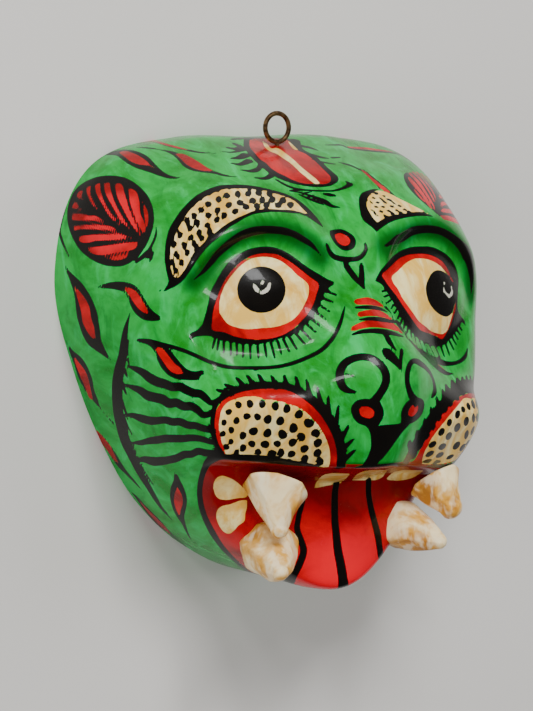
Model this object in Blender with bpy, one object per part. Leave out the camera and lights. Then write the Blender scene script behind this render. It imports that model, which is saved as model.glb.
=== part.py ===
"""Tiger mask, lying face up on its back rim: a hollow carved shell, a screw eye and four fangs.

X runs across the face, Y from the chin to the crown, Z out of the face. Metres.
"""
import math

import bmesh
import bpy
import numpy as np
from mathutils import Matrix, Vector

MM = 0.001

# Fits
GAP = 0.3 * MM
WALL = 7.0 * MM
CROWN_EXTRA = 4.0 * MM

# Rim outline, radius by angle from the crown
OUTLINE_ANGLES = (0.0, 22.5, 45.0, 67.5, 90.0, 112.5, 135.0, 157.5, 180.0)
OUTLINE_RADII = np.array((116.0, 125.5, 141.5, 129.5, 109.5, 100.5, 101.0, 105.5, 112.0)) * MM

# Sections from rim to centre: share of the outline radius, then height
SECTION_ANGLES = (0.0, 45.0, 70.0, 100.0, 135.0, 180.0)
SECTION_STEPS = 8
SECTION_SHARES = np.array((
    (1.0, 0.995, 0.961, 0.908, 0.82, 0.67, 0.50, 0.28, 0.0),
    (1.0, 0.990, 0.952, 0.895, 0.82, 0.69, 0.50, 0.27, 0.0),
    (1.0, 0.985, 0.945, 0.885, 0.80, 0.68, 0.49, 0.26, 0.0),
    (1.0, 0.990, 0.970, 0.940, 0.87, 0.74, 0.54, 0.28, 0.0),
    (1.0, 1.000, 0.990, 0.955, 0.87, 0.71, 0.51, 0.27, 0.0),
    (1.0, 1.010, 1.020, 1.030, 1.00, 0.84, 0.60, 0.32, 0.0),
))
SECTION_HEIGHTS = np.array((
    (0.0, 14.0, 27.0, 43.0, 61.5, 76.0, 87.5, 96.0, 98.5),
    (0.0, 14.0, 28.0, 42.0, 57.0, 72.0, 86.0, 96.0, 98.5),
    (0.0, 18.0, 36.0, 53.0, 68.0, 80.0, 89.0, 96.0, 98.5),
    (0.0, 20.0, 40.0, 60.0, 76.0, 86.0, 92.0, 96.5, 98.5),
    (0.0, 20.0, 40.0, 57.0, 71.0, 81.0, 90.0, 96.5, 98.5),
    (0.0, 24.0, 48.0, 70.0, 86.0, 87.0, 90.0, 96.0, 98.5),
)) * MM
WALL_BAND = 0.25
HOLLOW_FOOT = 1.0 * MM

# Muzzle and cheeks
MUZZLE_HEIGHT = 34.5 * MM
MUZZLE_Y = -8.0 * MM
MUZZLE_HALF_WIDTH = 61.0 * MM
MUZZLE_REACH_UP = 58.0 * MM
MUZZLE_REACH_DOWN = 108.0 * MM
CHEEK_HEIGHT = 8.0 * MM
CHEEK_CENTRE = (54.0 * MM, -8.0 * MM)
CHEEK_SPREAD = (24.0 * MM, 17.0 * MM)

# Whisker pads
PAD_HEIGHT = 15.0 * MM
PAD_CENTRE = (60.0 * MM, -30.0 * MM)
PAD_SPREAD = (31.0 * MM, 25.0 * MM)
PAD_EXTRA_RIGHT = 5.0 * MM
DROP_RIGHT = 9.0 * MM

# Brow arches round each eye, radius by angle from straight up, outwards positive
ARCH_CENTRE = (52.0 * MM, 38.0 * MM)
ARCH_ANGLES = (-100.0, -60.0, -20.0, 20.0, 60.0, 100.0)
ARCH_RADII = np.array((40.5, 38.0, 37.0, 35.0, 38.0, 44.5)) * MM
ARCH_HEIGHT = 9.5 * MM
ARCH_SLOPE_OUT = 16.0 * MM
ARCH_SLOPE_IN = 8.0 * MM
ARCH_TURN = 6.0 * MM
ARCH_FADE_IN = (-105.0, -45.0)
ARCH_FADE_OUT = (118.0, 62.0)

# Eyes
EYE_CENTRE = (49.0 * MM, 37.0 * MM)
EYE_HALF = (36.0 * MM, 26.0 * MM)
EYE_BULGE = 4.5 * MM
EYE_GROOVE = 1.6 * MM

# Mouth
LIP_Y = -48.5 * MM
LIP_RISE_LEFT = 3.5 * MM
LIP_DROP_RIGHT = 7.5 * MM
LIP_HALF_WIDTH = 60.0 * MM
MOUTH_CORNER = (68.0 * MM, 80.0 * MM)
PALATE_SLOPE = 3.0
MOUTH_FLOOR = 79.5 * MM
TONGUE_HEIGHT = 2.5 * MM
TONGUE_LIFT = 4.0 * MM
TONGUE_HALF_WIDTH = 27.0 * MM
TONGUE_ROOT_Y = -60.0 * MM
TONGUE_LENGTH = 50.0 * MM
EDGE_BLEND = 0.8 * MM
JAW_BLEND = 9.0 * MM
HOLLOW_SLOPE = 1.7
HOLLOW_START = 14.0 * MM

# Screw eye
RING_RADIUS = 7.4 * MM
WIRE_RADIUS = 1.28 * MM
RING_HEIGHT = 26.0 * MM
RING_LIFT = 0.45 * MM
SHANK_LENGTH = 7.5 * MM

# Fangs, a little uneven as set by hand: middle of the root and of the tip's ball, radii,
# length of the foot behind the root, how far the root end leans per millimetre to the right,
# and the power of the taper, 1 for a straight cone and less for a fuller one
FANGS = {
    "fang_upper_left": {
        "root": (-43.0 * MM, -59.9 * MM, 86.0 * MM), "tip": (-46.5 * MM, -79.3 * MM, 94.5 * MM),
        "root_radius": 15.9 * MM, "tip_radius": 4.6 * MM, "foot": 1.5 * MM, "lean": 0.25,
        "taper": 1.0,
    },
    "fang_upper_right": {
        "root": (58.0 * MM, -62.0 * MM, 86.0 * MM), "tip": (61.0 * MM, -74.6 * MM, 95.0 * MM),
        "root_radius": 14.0 * MM, "tip_radius": 6.2 * MM, "foot": 1.5 * MM, "lean": 0.0,
        "taper": 1.0,
    },
    "fang_lower_left": {
        "root": (-38.2 * MM, -92.2 * MM, 75.0 * MM), "tip": (-47.6 * MM, -100.5 * MM, 97.0 * MM),
        "root_radius": 14.8 * MM, "tip_radius": 4.4 * MM, "foot": 12.0 * MM, "lean": 0.0,
        "taper": 0.68,
    },
    "fang_lower_right": {
        "root": (45.6 * MM, -85.1 * MM, 75.0 * MM), "tip": (52.1 * MM, -91.5 * MM, 97.0 * MM),
        "root_radius": 12.6 * MM, "tip_radius": 4.4 * MM, "foot": 12.0 * MM, "lean": 0.0,
        "taper": 0.68,
    },
}
FANG_SIDES = 12
FANG_RINGS = 8
SEAT_DEPTH = 20.0 * MM

# Facets
FRONT_GRID = 56
HOLLOW_GRID = 28
GRID_EVENNESS = 0.70
HOLLOW_EASING = 3
PALATE_STRIPS = 2
PALATE_DEPTH = 13.5 * MM
JAW_STRIPS_SHARE = 0.40
RING_SIDES = 24
WIRE_SIDES = 10


def smooth_step(share):
    """Ease a share from 0 to 1."""
    share = np.clip(share, 0.0, 1.0)
    return share * share * (3.0 - 2.0 * share)


def smooth_min(a, b, blend):
    """Lower of two heights with a rounded join."""
    return 0.5 * (a + b - np.sqrt((a - b) ** 2 + blend * blend))


def smooth_max(a, b, blend):
    """Higher of two heights with a rounded join."""
    return 0.5 * (a + b + np.sqrt((a - b) ** 2 + blend * blend))


def through_knots(knots, values, at):
    """Cubic curve through values at the knots, row by row."""
    knots = np.asarray(knots, float)
    values = np.asarray(values, float)
    tail = (1,) * (values.ndim - 1)
    slope = np.diff(values, axis=0) / np.diff(knots).reshape((-1,) + tail)
    tangent = np.concatenate((slope[:1], (slope[1:] + slope[:-1]) / 2.0, slope[-1:]))
    index = np.clip(np.searchsorted(knots, at, side="right") - 1, 0, len(knots) - 2)
    width = knots[index + 1] - knots[index]
    s = ((at - knots[index]) / width).reshape(at.shape + tail)
    width = width.reshape(at.shape + tail)
    return (
        (2 * s ** 3 - 3 * s ** 2 + 1) * values[index]
        + (s ** 3 - 2 * s ** 2 + s) * width * tangent[index]
        + (3 * s ** 2 - 2 * s ** 3) * values[index + 1]
        + (s ** 3 - s ** 2) * width * tangent[index + 1]
    )


def round_both_ends(degrees, values):
    """Repeat a table past the crown and the chin so that it meets its mirror image smoothly."""
    angles = np.radians(degrees)
    angles = np.concatenate((-angles[1:2], angles, 2 * math.pi - angles[-2:-1]))
    return angles, np.concatenate((values[1:2], values, values[-2:-1]))


def along_section(table, step):
    """Smooth value along each section between its steps."""
    low = np.clip(np.floor(step).astype(int), 0, SECTION_STEPS - 1)
    part = step - low
    first = 2 * table[..., :1] - table[..., 1:2]
    last = np.where(table[..., -1:] == 0.0, -table[..., -2:-1], table[..., -2:-1])
    table = np.concatenate((first, table, last), axis=-1)
    a, b, c, d = (np.take_along_axis(table, (low + k)[..., None], -1)[..., 0] for k in range(4))
    return 0.5 * (
        2 * b + (c - a) * part
        + (2 * a - 5 * b + 4 * c - d) * part ** 2
        + (3 * b - a - 3 * c + d) * part ** 3
    )


def carved_front(x, y, height, soft):
    """Muzzle, cheeks, pads, brows and eyes on top of the plain section height."""
    side = np.abs(x)
    reach = np.where(y > MUZZLE_Y, MUZZLE_REACH_UP, MUZZLE_REACH_DOWN)
    swell = 1 - (side / MUZZLE_HALF_WIDTH) ** 2 - ((y - MUZZLE_Y) / reach) ** 2
    height = height + MUZZLE_HEIGHT * np.clip(swell, 0, None) ** 2
    right = smooth_step(x / PAD_CENTRE[0])
    lowered = y + DROP_RIGHT * right
    cheek = ((side - CHEEK_CENTRE[0]) / CHEEK_SPREAD[0]) ** 2
    cheek = cheek + ((lowered - CHEEK_CENTRE[1]) / CHEEK_SPREAD[1]) ** 2
    height = height + CHEEK_HEIGHT * np.exp(-cheek)
    if soft:
        return height
    pad = ((side - PAD_CENTRE[0]) / PAD_SPREAD[0]) ** 2
    pad = pad + ((lowered - PAD_CENTRE[1]) / PAD_SPREAD[1]) ** 2
    height = height + (PAD_HEIGHT + PAD_EXTRA_RIGHT * right) * np.exp(-pad ** 2)
    height = height + brow_arch(side, y)
    eye = ((side - EYE_CENTRE[0]) / EYE_HALF[0]) ** 2 + ((y - EYE_CENTRE[1]) / EYE_HALF[1]) ** 2
    height = height + EYE_BULGE * np.clip(1 - eye, 0, None) ** 1.4
    return height - EYE_GROOVE * np.exp(-((np.sqrt(eye) - 1.1) / 0.22) ** 2)


def brow_arch(side, y):
    """Ridge over the eye, steep towards the eye and gentle towards the forehead."""
    out = side - ARCH_CENTRE[0]
    up = y - ARCH_CENTRE[1]
    angle = np.degrees(np.arctan2(out, up))
    held = np.clip(angle, ARCH_ANGLES[0], ARCH_ANGLES[-1])
    away = np.hypot(out, up) - through_knots(ARCH_ANGLES, ARCH_RADII, held)
    outside = smooth_step(0.5 + 0.5 * away / ARCH_TURN)
    slope = ARCH_SLOPE_IN + (ARCH_SLOPE_OUT - ARCH_SLOPE_IN) * outside
    fade = smooth_step((angle - ARCH_FADE_IN[0]) / (ARCH_FADE_IN[1] - ARCH_FADE_IN[0]))
    fade = fade * smooth_step((ARCH_FADE_OUT[0] - angle) / (ARCH_FADE_OUT[0] - ARCH_FADE_OUT[1]))
    return ARCH_HEIGHT * fade * np.exp(-(away / slope) ** 2)


def open_mouth(x, y, height, soft):
    """Cut the palate, mouth floor and tongue below the upper lip."""
    side = np.abs(x)
    lip = lip_line(x)
    corner = smooth_step((MOUTH_CORNER[1] - side) / (MOUTH_CORNER[1] - MOUTH_CORNER[0]))
    if soft:
        cut = height - HOLLOW_SLOPE * corner * np.clip(lip + HOLLOW_START - y, 0, None)
        return smooth_max(np.minimum(height, MOUTH_FLOOR), cut, JAW_BLEND) - JAW_BLEND / 2
    down = np.clip((TONGUE_ROOT_Y - y) / TONGUE_LENGTH, 0, 1)
    tongue = (TONGUE_HEIGHT + TONGUE_LIFT * down) * np.exp(-(side / TONGUE_HALF_WIDTH) ** 2)
    floor = MOUTH_FLOOR + tongue * smooth_step((TONGUE_ROOT_Y - y) / (0.3 * TONGUE_LENGTH))
    floor = smooth_min(height, floor, JAW_BLEND)
    cut = height - PALATE_SLOPE * corner * np.clip(lip - y, 0, None)
    return np.minimum(height, smooth_max(floor, cut, EDGE_BLEND))


def front_point(rho, theta, soft=False):
    """Point of the front surface, rho 1 at the rim and 0 at the centre, theta from the crown."""
    turn = np.abs(theta)
    radius = through_knots(*round_both_ends(OUTLINE_ANGLES, OUTLINE_RADII), turn)
    shares = through_knots(*round_both_ends(SECTION_ANGLES, SECTION_SHARES), turn)
    heights = through_knots(*round_both_ends(SECTION_ANGLES, SECTION_HEIGHTS), turn)
    step = (1 - rho) * SECTION_STEPS
    radius = radius * along_section(shares, step)
    plain = along_section(heights, step)
    x = radius * np.sin(theta)
    y = radius * np.cos(theta)
    front = smooth_step((1 - rho) / WALL_BAND)
    z = plain + front * (carved_front(x, y, plain, soft) - plain)
    z = z + smooth_step((1 - rho) / (0.5 * WALL_BAND)) * (open_mouth(x, y, z, soft) - z)
    return np.stack((x, y, np.where(rho > 0.9999, 0.0, z)), axis=-1)


def front_normal(rho, theta, soft=False):
    """Outward unit normal of the front surface."""
    small = 0.05 if soft else 0.004
    rho = np.clip(rho, small, 1 - small)
    down = front_point(rho + small, theta, soft) - front_point(rho - small, theta, soft)
    round_ = front_point(rho, theta + small, soft) - front_point(rho, theta - small, soft)
    normal = np.cross(round_, down)
    return normal / np.linalg.norm(normal, axis=-1, keepdims=True)


def square_to_disc(u, v):
    """Rho and theta of a place in the square from -1 to 1."""
    across = u * np.sqrt(1 - v * v / 2)
    along = v * np.sqrt(1 - u * u / 2)
    return np.clip(np.hypot(across, along), 0, 1), np.arctan2(across, along)


def lip_line(x):
    """Y of the upper lip, which rises to the left and hangs to the right."""
    return LIP_Y + np.where(x < 0, LIP_RISE_LEFT, -LIP_DROP_RIGHT) * (x / LIP_HALF_WIDTH) ** 2


def row_below_lip(u, depth):
    """Square row that runs at a depth below the upper lip, found by halving."""
    low = np.full(u.shape, -0.9)
    high = np.full(u.shape, 0.3)
    for _ in range(30):
        middle = (low + high) / 2
        point = front_point(*square_to_disc(u, middle))
        above = point[..., 1] > lip_line(point[..., 0]) - depth
        high = np.where(above, middle, high)
        low = np.where(above, low, middle)
    return (low + high) / 2


def disc_places(plan, count):
    """Rho and theta of grid corners, with rows laid along the lip and the palate foot."""
    u = plan[:, 0] * (GRID_EVENNESS + (1 - GRID_EVENNESS) * plan[:, 0] ** 2)
    row = np.rint((plan[:, 1] + 1) / 2 * count)
    foot_row = round(JAW_STRIPS_SHARE * count)
    lip_row = foot_row + PALATE_STRIPS
    columns, column = np.unique(np.round(u, 6), return_inverse=True)
    lip = row_below_lip(columns, 0.0)[column]
    foot = row_below_lip(columns, PALATE_DEPTH)[column]
    jaw = row / foot_row
    jaw = -1 + (foot + 1) * jaw * (1 + 0.3 * (1 - jaw))
    palate = foot + (lip - foot) * (row - foot_row) / PALATE_STRIPS
    brow = (row - lip_row) / (count - lip_row)
    brow = lip + (1 - lip) * brow * (0.82 + 0.18 * brow)
    v = np.where(row < foot_row, jaw, np.where(row < lip_row, palate, brow))
    return square_to_disc(u, np.clip(v, -1, 1))


def grid_mesh(place, count):
    """Square grid whose corners are set by place, as a bmesh."""
    mesh = bmesh.new()
    bmesh.ops.create_grid(mesh, x_segments=count, y_segments=count, size=1.0)
    plan = np.array([corner.co[:2] for corner in mesh.verts])
    edge = np.max(np.abs(plan), axis=1) > 1 - 1e-6
    rho, theta = disc_places(plan, count)
    rho = np.where(edge, 1.0, rho)
    for corner, point in zip(mesh.verts, place(rho, theta)):
        corner.co = point
    return mesh


def inner_points(rho, theta):
    """Inside of the hollow, one wall behind the softened front."""
    wall = WALL + CROWN_EXTRA * np.clip(np.cos(theta), 0, 1) ** 8
    points = front_point(rho, theta, True) - wall[:, None] * front_normal(rho, theta, True)
    points[:, 2] = np.where(rho > 0.9999, 0.0, np.clip(points[:, 2], HOLLOW_FOOT, None))
    return points


def seat_points(rho, theta):
    """Front surface lifted by the fit gap, for cutting the fang roots."""
    points = front_point(rho, theta) + GAP * front_normal(rho, theta)
    points[:, 2] = np.where(rho > 0.9999, GAP, points[:, 2])
    return points


def new_material(name, colour, roughness, metallic=0.0):
    """Principled material of one colour."""
    material = bpy.data.materials.new(name)
    material.use_nodes = True
    shader = material.node_tree.nodes["Principled BSDF"]
    shader.inputs["Base Color"].default_value = (*colour, 1.0)
    shader.inputs["Roughness"].default_value = roughness
    shader.inputs["Metallic"].default_value = metallic
    return material


def new_object(name, mesh, material=None):
    """Object of a bmesh with outward faces."""
    bmesh.ops.recalc_face_normals(mesh, faces=mesh.faces)
    data = bpy.data.meshes.new(name)
    mesh.to_mesh(data)
    mesh.free()
    piece = bpy.data.objects.new(name, data)
    bpy.context.scene.collection.objects.link(piece)
    if material is not None:
        data.materials.append(material)
    return piece


def hide_cutter(piece):
    """Keep a cutting solid out of the result."""
    piece.hide_render = True
    piece.display_type = "WIRE"


def boolean(piece, other, operation):
    """Apply an exact Boolean and remove the other solid."""
    modifier = piece.modifiers.new(operation.lower(), "BOOLEAN")
    modifier.operation = operation
    modifier.solver = "EXACT"
    modifier.object = other
    hide_cutter(other)
    bpy.context.view_layer.update()
    graph = bpy.context.evaluated_depsgraph_get()
    result = bpy.data.meshes.new_from_object(piece.evaluated_get(graph))
    piece.modifiers.clear()
    piece.data = result
    bpy.data.objects.remove(other, do_unlink=True)


def smooth_round(piece, degrees):
    """Smooth shading with sharp edges past an angle."""
    for face in piece.data.polygons:
        face.use_smooth = True
    piece.data.set_sharp_from_angle(angle=math.radians(degrees))


def turned(corner):
    """Angle of a rim corner from the crown."""
    return math.atan2(corner.co.x, corner.co.y)


def close_rim(mesh, outer, inner):
    """Flat ring of triangles between the outer and the inner rim."""
    outer = sorted(outer, key=turned)
    inner = sorted(inner, key=turned)
    a = b = 0
    while a < len(outer) or b < len(inner):
        next_outer = turned(outer[a + 1]) if a + 1 < len(outer) else math.pi + a / len(outer)
        next_inner = turned(inner[b + 1]) if b + 1 < len(inner) else math.pi + b / len(inner)
        here = outer[a % len(outer)], inner[b % len(inner)]
        if b >= len(inner) or (a < len(outer) and next_outer <= next_inner):
            mesh.faces.new((*here, outer[(a + 1) % len(outer)]))
            a += 1
        else:
            mesh.faces.new((*here, inner[(b + 1) % len(inner)]))
            b += 1


def shell(material):
    """Hollow mask body, open at the back with a flat rim."""
    mesh = grid_mesh(front_point, FRONT_GRID)
    front_count = len(mesh.verts)
    inside = grid_mesh(inner_points, HOLLOW_GRID)
    free = [corner for corner in inside.verts if not corner.is_boundary]
    for _ in range(HOLLOW_EASING):
        bmesh.ops.smooth_vert(
            inside, verts=free, factor=0.5, use_axis_x=True, use_axis_y=True, use_axis_z=True,
        )
    spare = bpy.data.meshes.new("inside")
    inside.to_mesh(spare)
    inside.free()
    mesh.from_mesh(spare)
    bpy.data.meshes.remove(spare)
    mesh.verts.ensure_lookup_table()
    rims = [
        [corner for corner in part if corner.is_boundary]
        for part in (mesh.verts[:front_count], mesh.verts[front_count:])
    ]
    close_rim(mesh, *rims)
    bmesh.ops.triangulate(mesh, faces=mesh.faces)
    return new_object("mask_body", mesh, material)


def seat_block():
    """Solid under the lifted front, for cutting the fang roots."""
    mesh = grid_mesh(seat_points, FRONT_GRID)
    border = [edge for edge in mesh.edges if edge.is_boundary]
    ring = bmesh.ops.extrude_edge_only(mesh, edges=border)["geom"]
    low = [item for item in ring if isinstance(item, bmesh.types.BMVert)]
    bmesh.ops.translate(mesh, verts=low, vec=(0.0, 0.0, -SEAT_DEPTH))
    rim = [item for item in ring if isinstance(item, bmesh.types.BMEdge)]
    bmesh.ops.contextual_create(mesh, geom=[edge for edge in rim if edge.is_boundary])
    bmesh.ops.triangulate(mesh, faces=mesh.faces)
    return new_object("seat_block", mesh)


def fang_profile(share, length, root_radius, tip_radius, foot, taper):
    """Width and place along the axis: flat root end, tapering side and round tip."""
    if share < 0.25:
        return root_radius * share / 0.25, -foot
    if share < 0.75:
        along = -foot + (length + foot) * (share - 0.25) / 0.5
        left = 1 - max(along, 0.0) / length
        return tip_radius + (root_radius - tip_radius) * max(left, 0.0) ** taper, along
    turn = (share - 0.75) / 0.25 * math.pi / 2
    return tip_radius * math.cos(turn), length + tip_radius * math.sin(turn)


def fang(name, root, tip, root_radius, tip_radius, foot, lean, taper, material):
    """Blunt lumpy cone from its root to its tip, with the root cut to the mouth."""
    mesh = bmesh.new()
    bmesh.ops.create_uvsphere(mesh, u_segments=FANG_SIDES, v_segments=FANG_RINGS, radius=1.0)
    start = Vector(root)
    axis = Vector(tip) - start
    turn = axis.to_track_quat("Z", "Y").to_matrix()
    right = turn.transposed() @ Vector((1.0, 0.0, 0.0))
    for corner in mesh.verts:
        share = 0.5 + math.asin(max(-1.0, min(1.0, corner.co.z))) / math.pi
        angle = math.atan2(corner.co.y, corner.co.x)
        width, along = fang_profile(share, axis.length, root_radius, tip_radius, foot, taper)
        depth = along / axis.length
        width *= 1 + 0.05 * math.sin(3 * angle + 5 * depth) + 0.03 * math.sin(5 * angle - 9 * depth)
        place = Vector((width * math.cos(angle), width * math.sin(angle), 0.0))
        along += lean * place.dot(right) * max(0.0, 1 - depth)
        corner.co = place + Vector((0.0, 0.0, along))
    bmesh.ops.transform(mesh, matrix=Matrix.Translation(start) @ turn.to_4x4(), verts=mesh.verts)
    bmesh.ops.triangulate(mesh, faces=mesh.faces)
    piece = new_object(name, mesh, material)
    boolean(piece, seat_block(), "DIFFERENCE")
    smooth_round(piece, 40)
    return piece


def crown_y():
    """Y of the front surface at the middle of the crown at the height of the ring."""
    rho = np.linspace(1.0, 0.5, 400)
    line = front_point(rho, np.zeros(400))
    return float(np.interp(RING_HEIGHT, line[:, 2], line[:, 1]))


def rod(radius, low_y, high_y, sides):
    """Cylinder along Y on the middle line at the height of the ring."""
    mesh = bmesh.new()
    middle = Matrix.Translation((0, (low_y + high_y) / 2, RING_HEIGHT))
    bmesh.ops.create_cone(
        mesh, cap_ends=True, segments=sides, radius1=radius, radius2=radius, depth=high_y - low_y,
        matrix=middle @ Matrix.Rotation(math.pi / 2, 4, "X"),
    )
    return mesh


def screw_eye(material):
    """Closed wire ring on a short shank."""
    base = crown_y()
    middle = base + RING_LIFT + WIRE_RADIUS + RING_RADIUS
    mesh = bmesh.new()
    wire = bmesh.ops.create_circle(
        mesh, segments=WIRE_SIDES, radius=WIRE_RADIUS,
        matrix=Matrix.Translation((RING_RADIUS, 0, 0)) @ Matrix.Rotation(math.pi / 2, 4, "X"),
    )["verts"]
    bmesh.ops.spin(
        mesh, geom=wire + list(mesh.edges), cent=(0, 0, 0), axis=(0, 0, 1), dvec=(0, 0, 0),
        angle=2 * math.pi, steps=RING_SIDES, use_merge=True, use_duplicate=False,
    )
    bmesh.ops.translate(mesh, verts=mesh.verts, vec=(0, middle, RING_HEIGHT))
    piece = new_object("screw_eye", mesh, material)
    top = base + RING_LIFT + WIRE_RADIUS
    shank = rod(WIRE_RADIUS, base - SHANK_LENGTH, top, WIRE_SIDES)
    boolean(piece, new_object("shank", shank), "UNION")
    smooth_round(piece, 40)
    return piece


def drill_crown(body):
    """Blind hole for the shank."""
    base = crown_y()
    hole = rod(WIRE_RADIUS + GAP, base - SHANK_LENGTH - GAP, base + RING_RADIUS, WIRE_SIDES)
    boolean(body, new_object("hole", hole), "DIFFERENCE")


def stand_on_origin(pieces):
    """Move everything so that the middle of the underside is at the origin."""
    points = [piece.matrix_world @ corner.co for piece in pieces for corner in piece.data.vertices]
    low = Vector([min(point[axis] for point in points) for axis in range(3)])
    high = Vector([max(point[axis] for point in points) for axis in range(3)])
    move = Matrix.Translation((-(low.x + high.x) / 2, -(low.y + high.y) / 2, -low.z))
    for piece in pieces:
        piece.data.transform(move)


def main():
    """Build every piece."""
    for piece in list(bpy.data.objects):
        bpy.data.objects.remove(piece, do_unlink=True)
    lacquer = new_material("green_lacquer", (0.02, 0.42, 0.10), 0.25)
    brass = new_material("aged_brass", (0.16, 0.10, 0.05), 0.45, 1.0)
    body = shell(lacquer)
    drill_crown(body)
    smooth_round(body, 50)
    pieces = [body, screw_eye(brass)]
    for name, sizes in FANGS.items():
        ivory = new_material(name + "_ivory", (0.78, 0.68, 0.45), 0.35)
        pieces.append(fang(name, material=ivory, **sizes))
    stand_on_origin(pieces)


main()
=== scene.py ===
"""Painted tiger mask lying face up: carved face, brushed pattern, fangs, screw eye and studio.

X runs across the face, Y from the chin to the crown, Z out of the face. Metres.
"""
import logging
import math
from dataclasses import dataclass, field
from enum import Enum

import bmesh
import bpy
import numpy as np
from mathutils import Matrix, Vector
from mathutils.bvhtree import BVHTree


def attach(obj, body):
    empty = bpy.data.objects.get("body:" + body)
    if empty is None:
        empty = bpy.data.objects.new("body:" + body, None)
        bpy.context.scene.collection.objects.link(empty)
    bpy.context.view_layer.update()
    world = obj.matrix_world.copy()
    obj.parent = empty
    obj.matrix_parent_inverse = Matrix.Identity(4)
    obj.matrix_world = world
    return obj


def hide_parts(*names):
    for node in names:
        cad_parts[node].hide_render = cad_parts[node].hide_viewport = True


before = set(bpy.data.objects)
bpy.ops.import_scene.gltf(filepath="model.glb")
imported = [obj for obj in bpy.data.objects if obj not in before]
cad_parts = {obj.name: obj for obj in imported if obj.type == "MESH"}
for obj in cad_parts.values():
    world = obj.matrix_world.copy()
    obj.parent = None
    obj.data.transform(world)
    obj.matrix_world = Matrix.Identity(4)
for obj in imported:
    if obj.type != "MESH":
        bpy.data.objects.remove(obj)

logging.basicConfig(level=logging.INFO, format="%(message)s")
log = logging.getLogger("mask")

MM = 0.001
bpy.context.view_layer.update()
MIDDLE_ABOVE_CENTRE = 7.157 * MM

# Face form, the same named sizes as the carved part
WALL = 7.0 * MM
CROWN_EXTRA = 4.0 * MM
OUTLINE_ANGLES = (0.0, 22.5, 45.0, 67.5, 90.0, 112.5, 135.0, 157.5, 180.0)
OUTLINE_RADII = np.array((116.0, 125.5, 141.5, 129.5, 109.5, 100.5, 101.0, 105.5, 112.0)) * MM
SECTION_ANGLES = (0.0, 45.0, 70.0, 100.0, 135.0, 180.0)
SECTION_STEPS = 8
SECTION_SHARES = np.array((
    (1.0, 0.995, 0.961, 0.908, 0.82, 0.67, 0.50, 0.28, 0.0),
    (1.0, 0.990, 0.952, 0.895, 0.82, 0.69, 0.50, 0.27, 0.0),
    (1.0, 0.985, 0.945, 0.885, 0.80, 0.68, 0.49, 0.26, 0.0),
    (1.0, 0.990, 0.970, 0.940, 0.87, 0.74, 0.54, 0.28, 0.0),
    (1.0, 1.000, 0.990, 0.955, 0.87, 0.71, 0.51, 0.27, 0.0),
    (1.0, 1.010, 1.020, 1.030, 1.00, 0.84, 0.60, 0.32, 0.0),
))
SECTION_HEIGHTS = np.array((
    (0.0, 14.0, 27.0, 43.0, 61.5, 76.0, 87.5, 96.0, 98.5),
    (0.0, 14.0, 28.0, 42.0, 57.0, 72.0, 86.0, 96.0, 98.5),
    (0.0, 18.0, 36.0, 53.0, 68.0, 80.0, 89.0, 96.0, 98.5),
    (0.0, 20.0, 40.0, 60.0, 76.0, 86.0, 92.0, 96.5, 98.5),
    (0.0, 20.0, 40.0, 57.0, 71.0, 81.0, 90.0, 96.5, 98.5),
    (0.0, 24.0, 48.0, 70.0, 86.0, 87.0, 90.0, 96.0, 98.5),
)) * MM
WALL_BAND = 0.25
HOLLOW_FOOT = 1.0 * MM
MUZZLE_HEIGHT = 34.5 * MM
MUZZLE_Y = -8.0 * MM
MUZZLE_HALF_WIDTH = 61.0 * MM
MUZZLE_REACH_UP = 58.0 * MM
MUZZLE_REACH_DOWN = 108.0 * MM
CHEEK_HEIGHT = 8.0 * MM
CHEEK_CENTRE = (54.0 * MM, -8.0 * MM)
CHEEK_SPREAD = (24.0 * MM, 17.0 * MM)
PAD_HEIGHT = 15.0 * MM
PAD_CENTRE = (60.0 * MM, -30.0 * MM)
PAD_SPREAD = (31.0 * MM, 25.0 * MM)
PAD_EXTRA_RIGHT = 5.0 * MM
DROP_RIGHT = 9.0 * MM
ARCH_CENTRE = (52.0 * MM, 38.0 * MM)
ARCH_ANGLES = (-100.0, -60.0, -20.0, 20.0, 60.0, 100.0)
ARCH_RADII = np.array((40.5, 38.0, 37.0, 35.0, 38.0, 44.5)) * MM
ARCH_HEIGHT = 9.5 * MM
ARCH_SLOPE_OUT = 16.0 * MM
ARCH_SLOPE_IN = 8.0 * MM
ARCH_TURN = 6.0 * MM
ARCH_FADE_IN = (-105.0, -45.0)
ARCH_FADE_OUT = (118.0, 62.0)
EYE_CENTRE = (49.0 * MM, 37.0 * MM)
EYE_HALF = (36.0 * MM, 26.0 * MM)
EYE_BULGE = 4.5 * MM
EYE_GROOVE = 1.6 * MM
LIP_Y = -48.5 * MM
LIP_RISE_LEFT = 3.5 * MM
LIP_DROP_RIGHT = 7.5 * MM
LIP_HALF_WIDTH = 60.0 * MM
MOUTH_CORNER = (68.0 * MM, 80.0 * MM)
PALATE_SLOPE = 3.0
MOUTH_FLOOR = 79.5 * MM
TONGUE_HEIGHT = 2.5 * MM
TONGUE_LIFT = 4.0 * MM
TONGUE_HALF_WIDTH = 27.0 * MM
TONGUE_ROOT_Y = -60.0 * MM
TONGUE_LENGTH = 50.0 * MM
EDGE_BLEND = 0.8 * MM
JAW_BLEND = 9.0 * MM
HOLLOW_SLOPE = 1.7
HOLLOW_START = 14.0 * MM
PALATE_DEPTH = 13.5 * MM
GRID_EVENNESS = 0.70
JAW_STRIPS_SHARE = 0.40

# Screw eye
RING_RADIUS = 7.4 * MM
WIRE_RADIUS = 1.28 * MM
RING_HEIGHT = 26.0 * MM
RING_LIFT = 0.45 * MM
SHANK_LENGTH = 3.0 * MM

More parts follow.
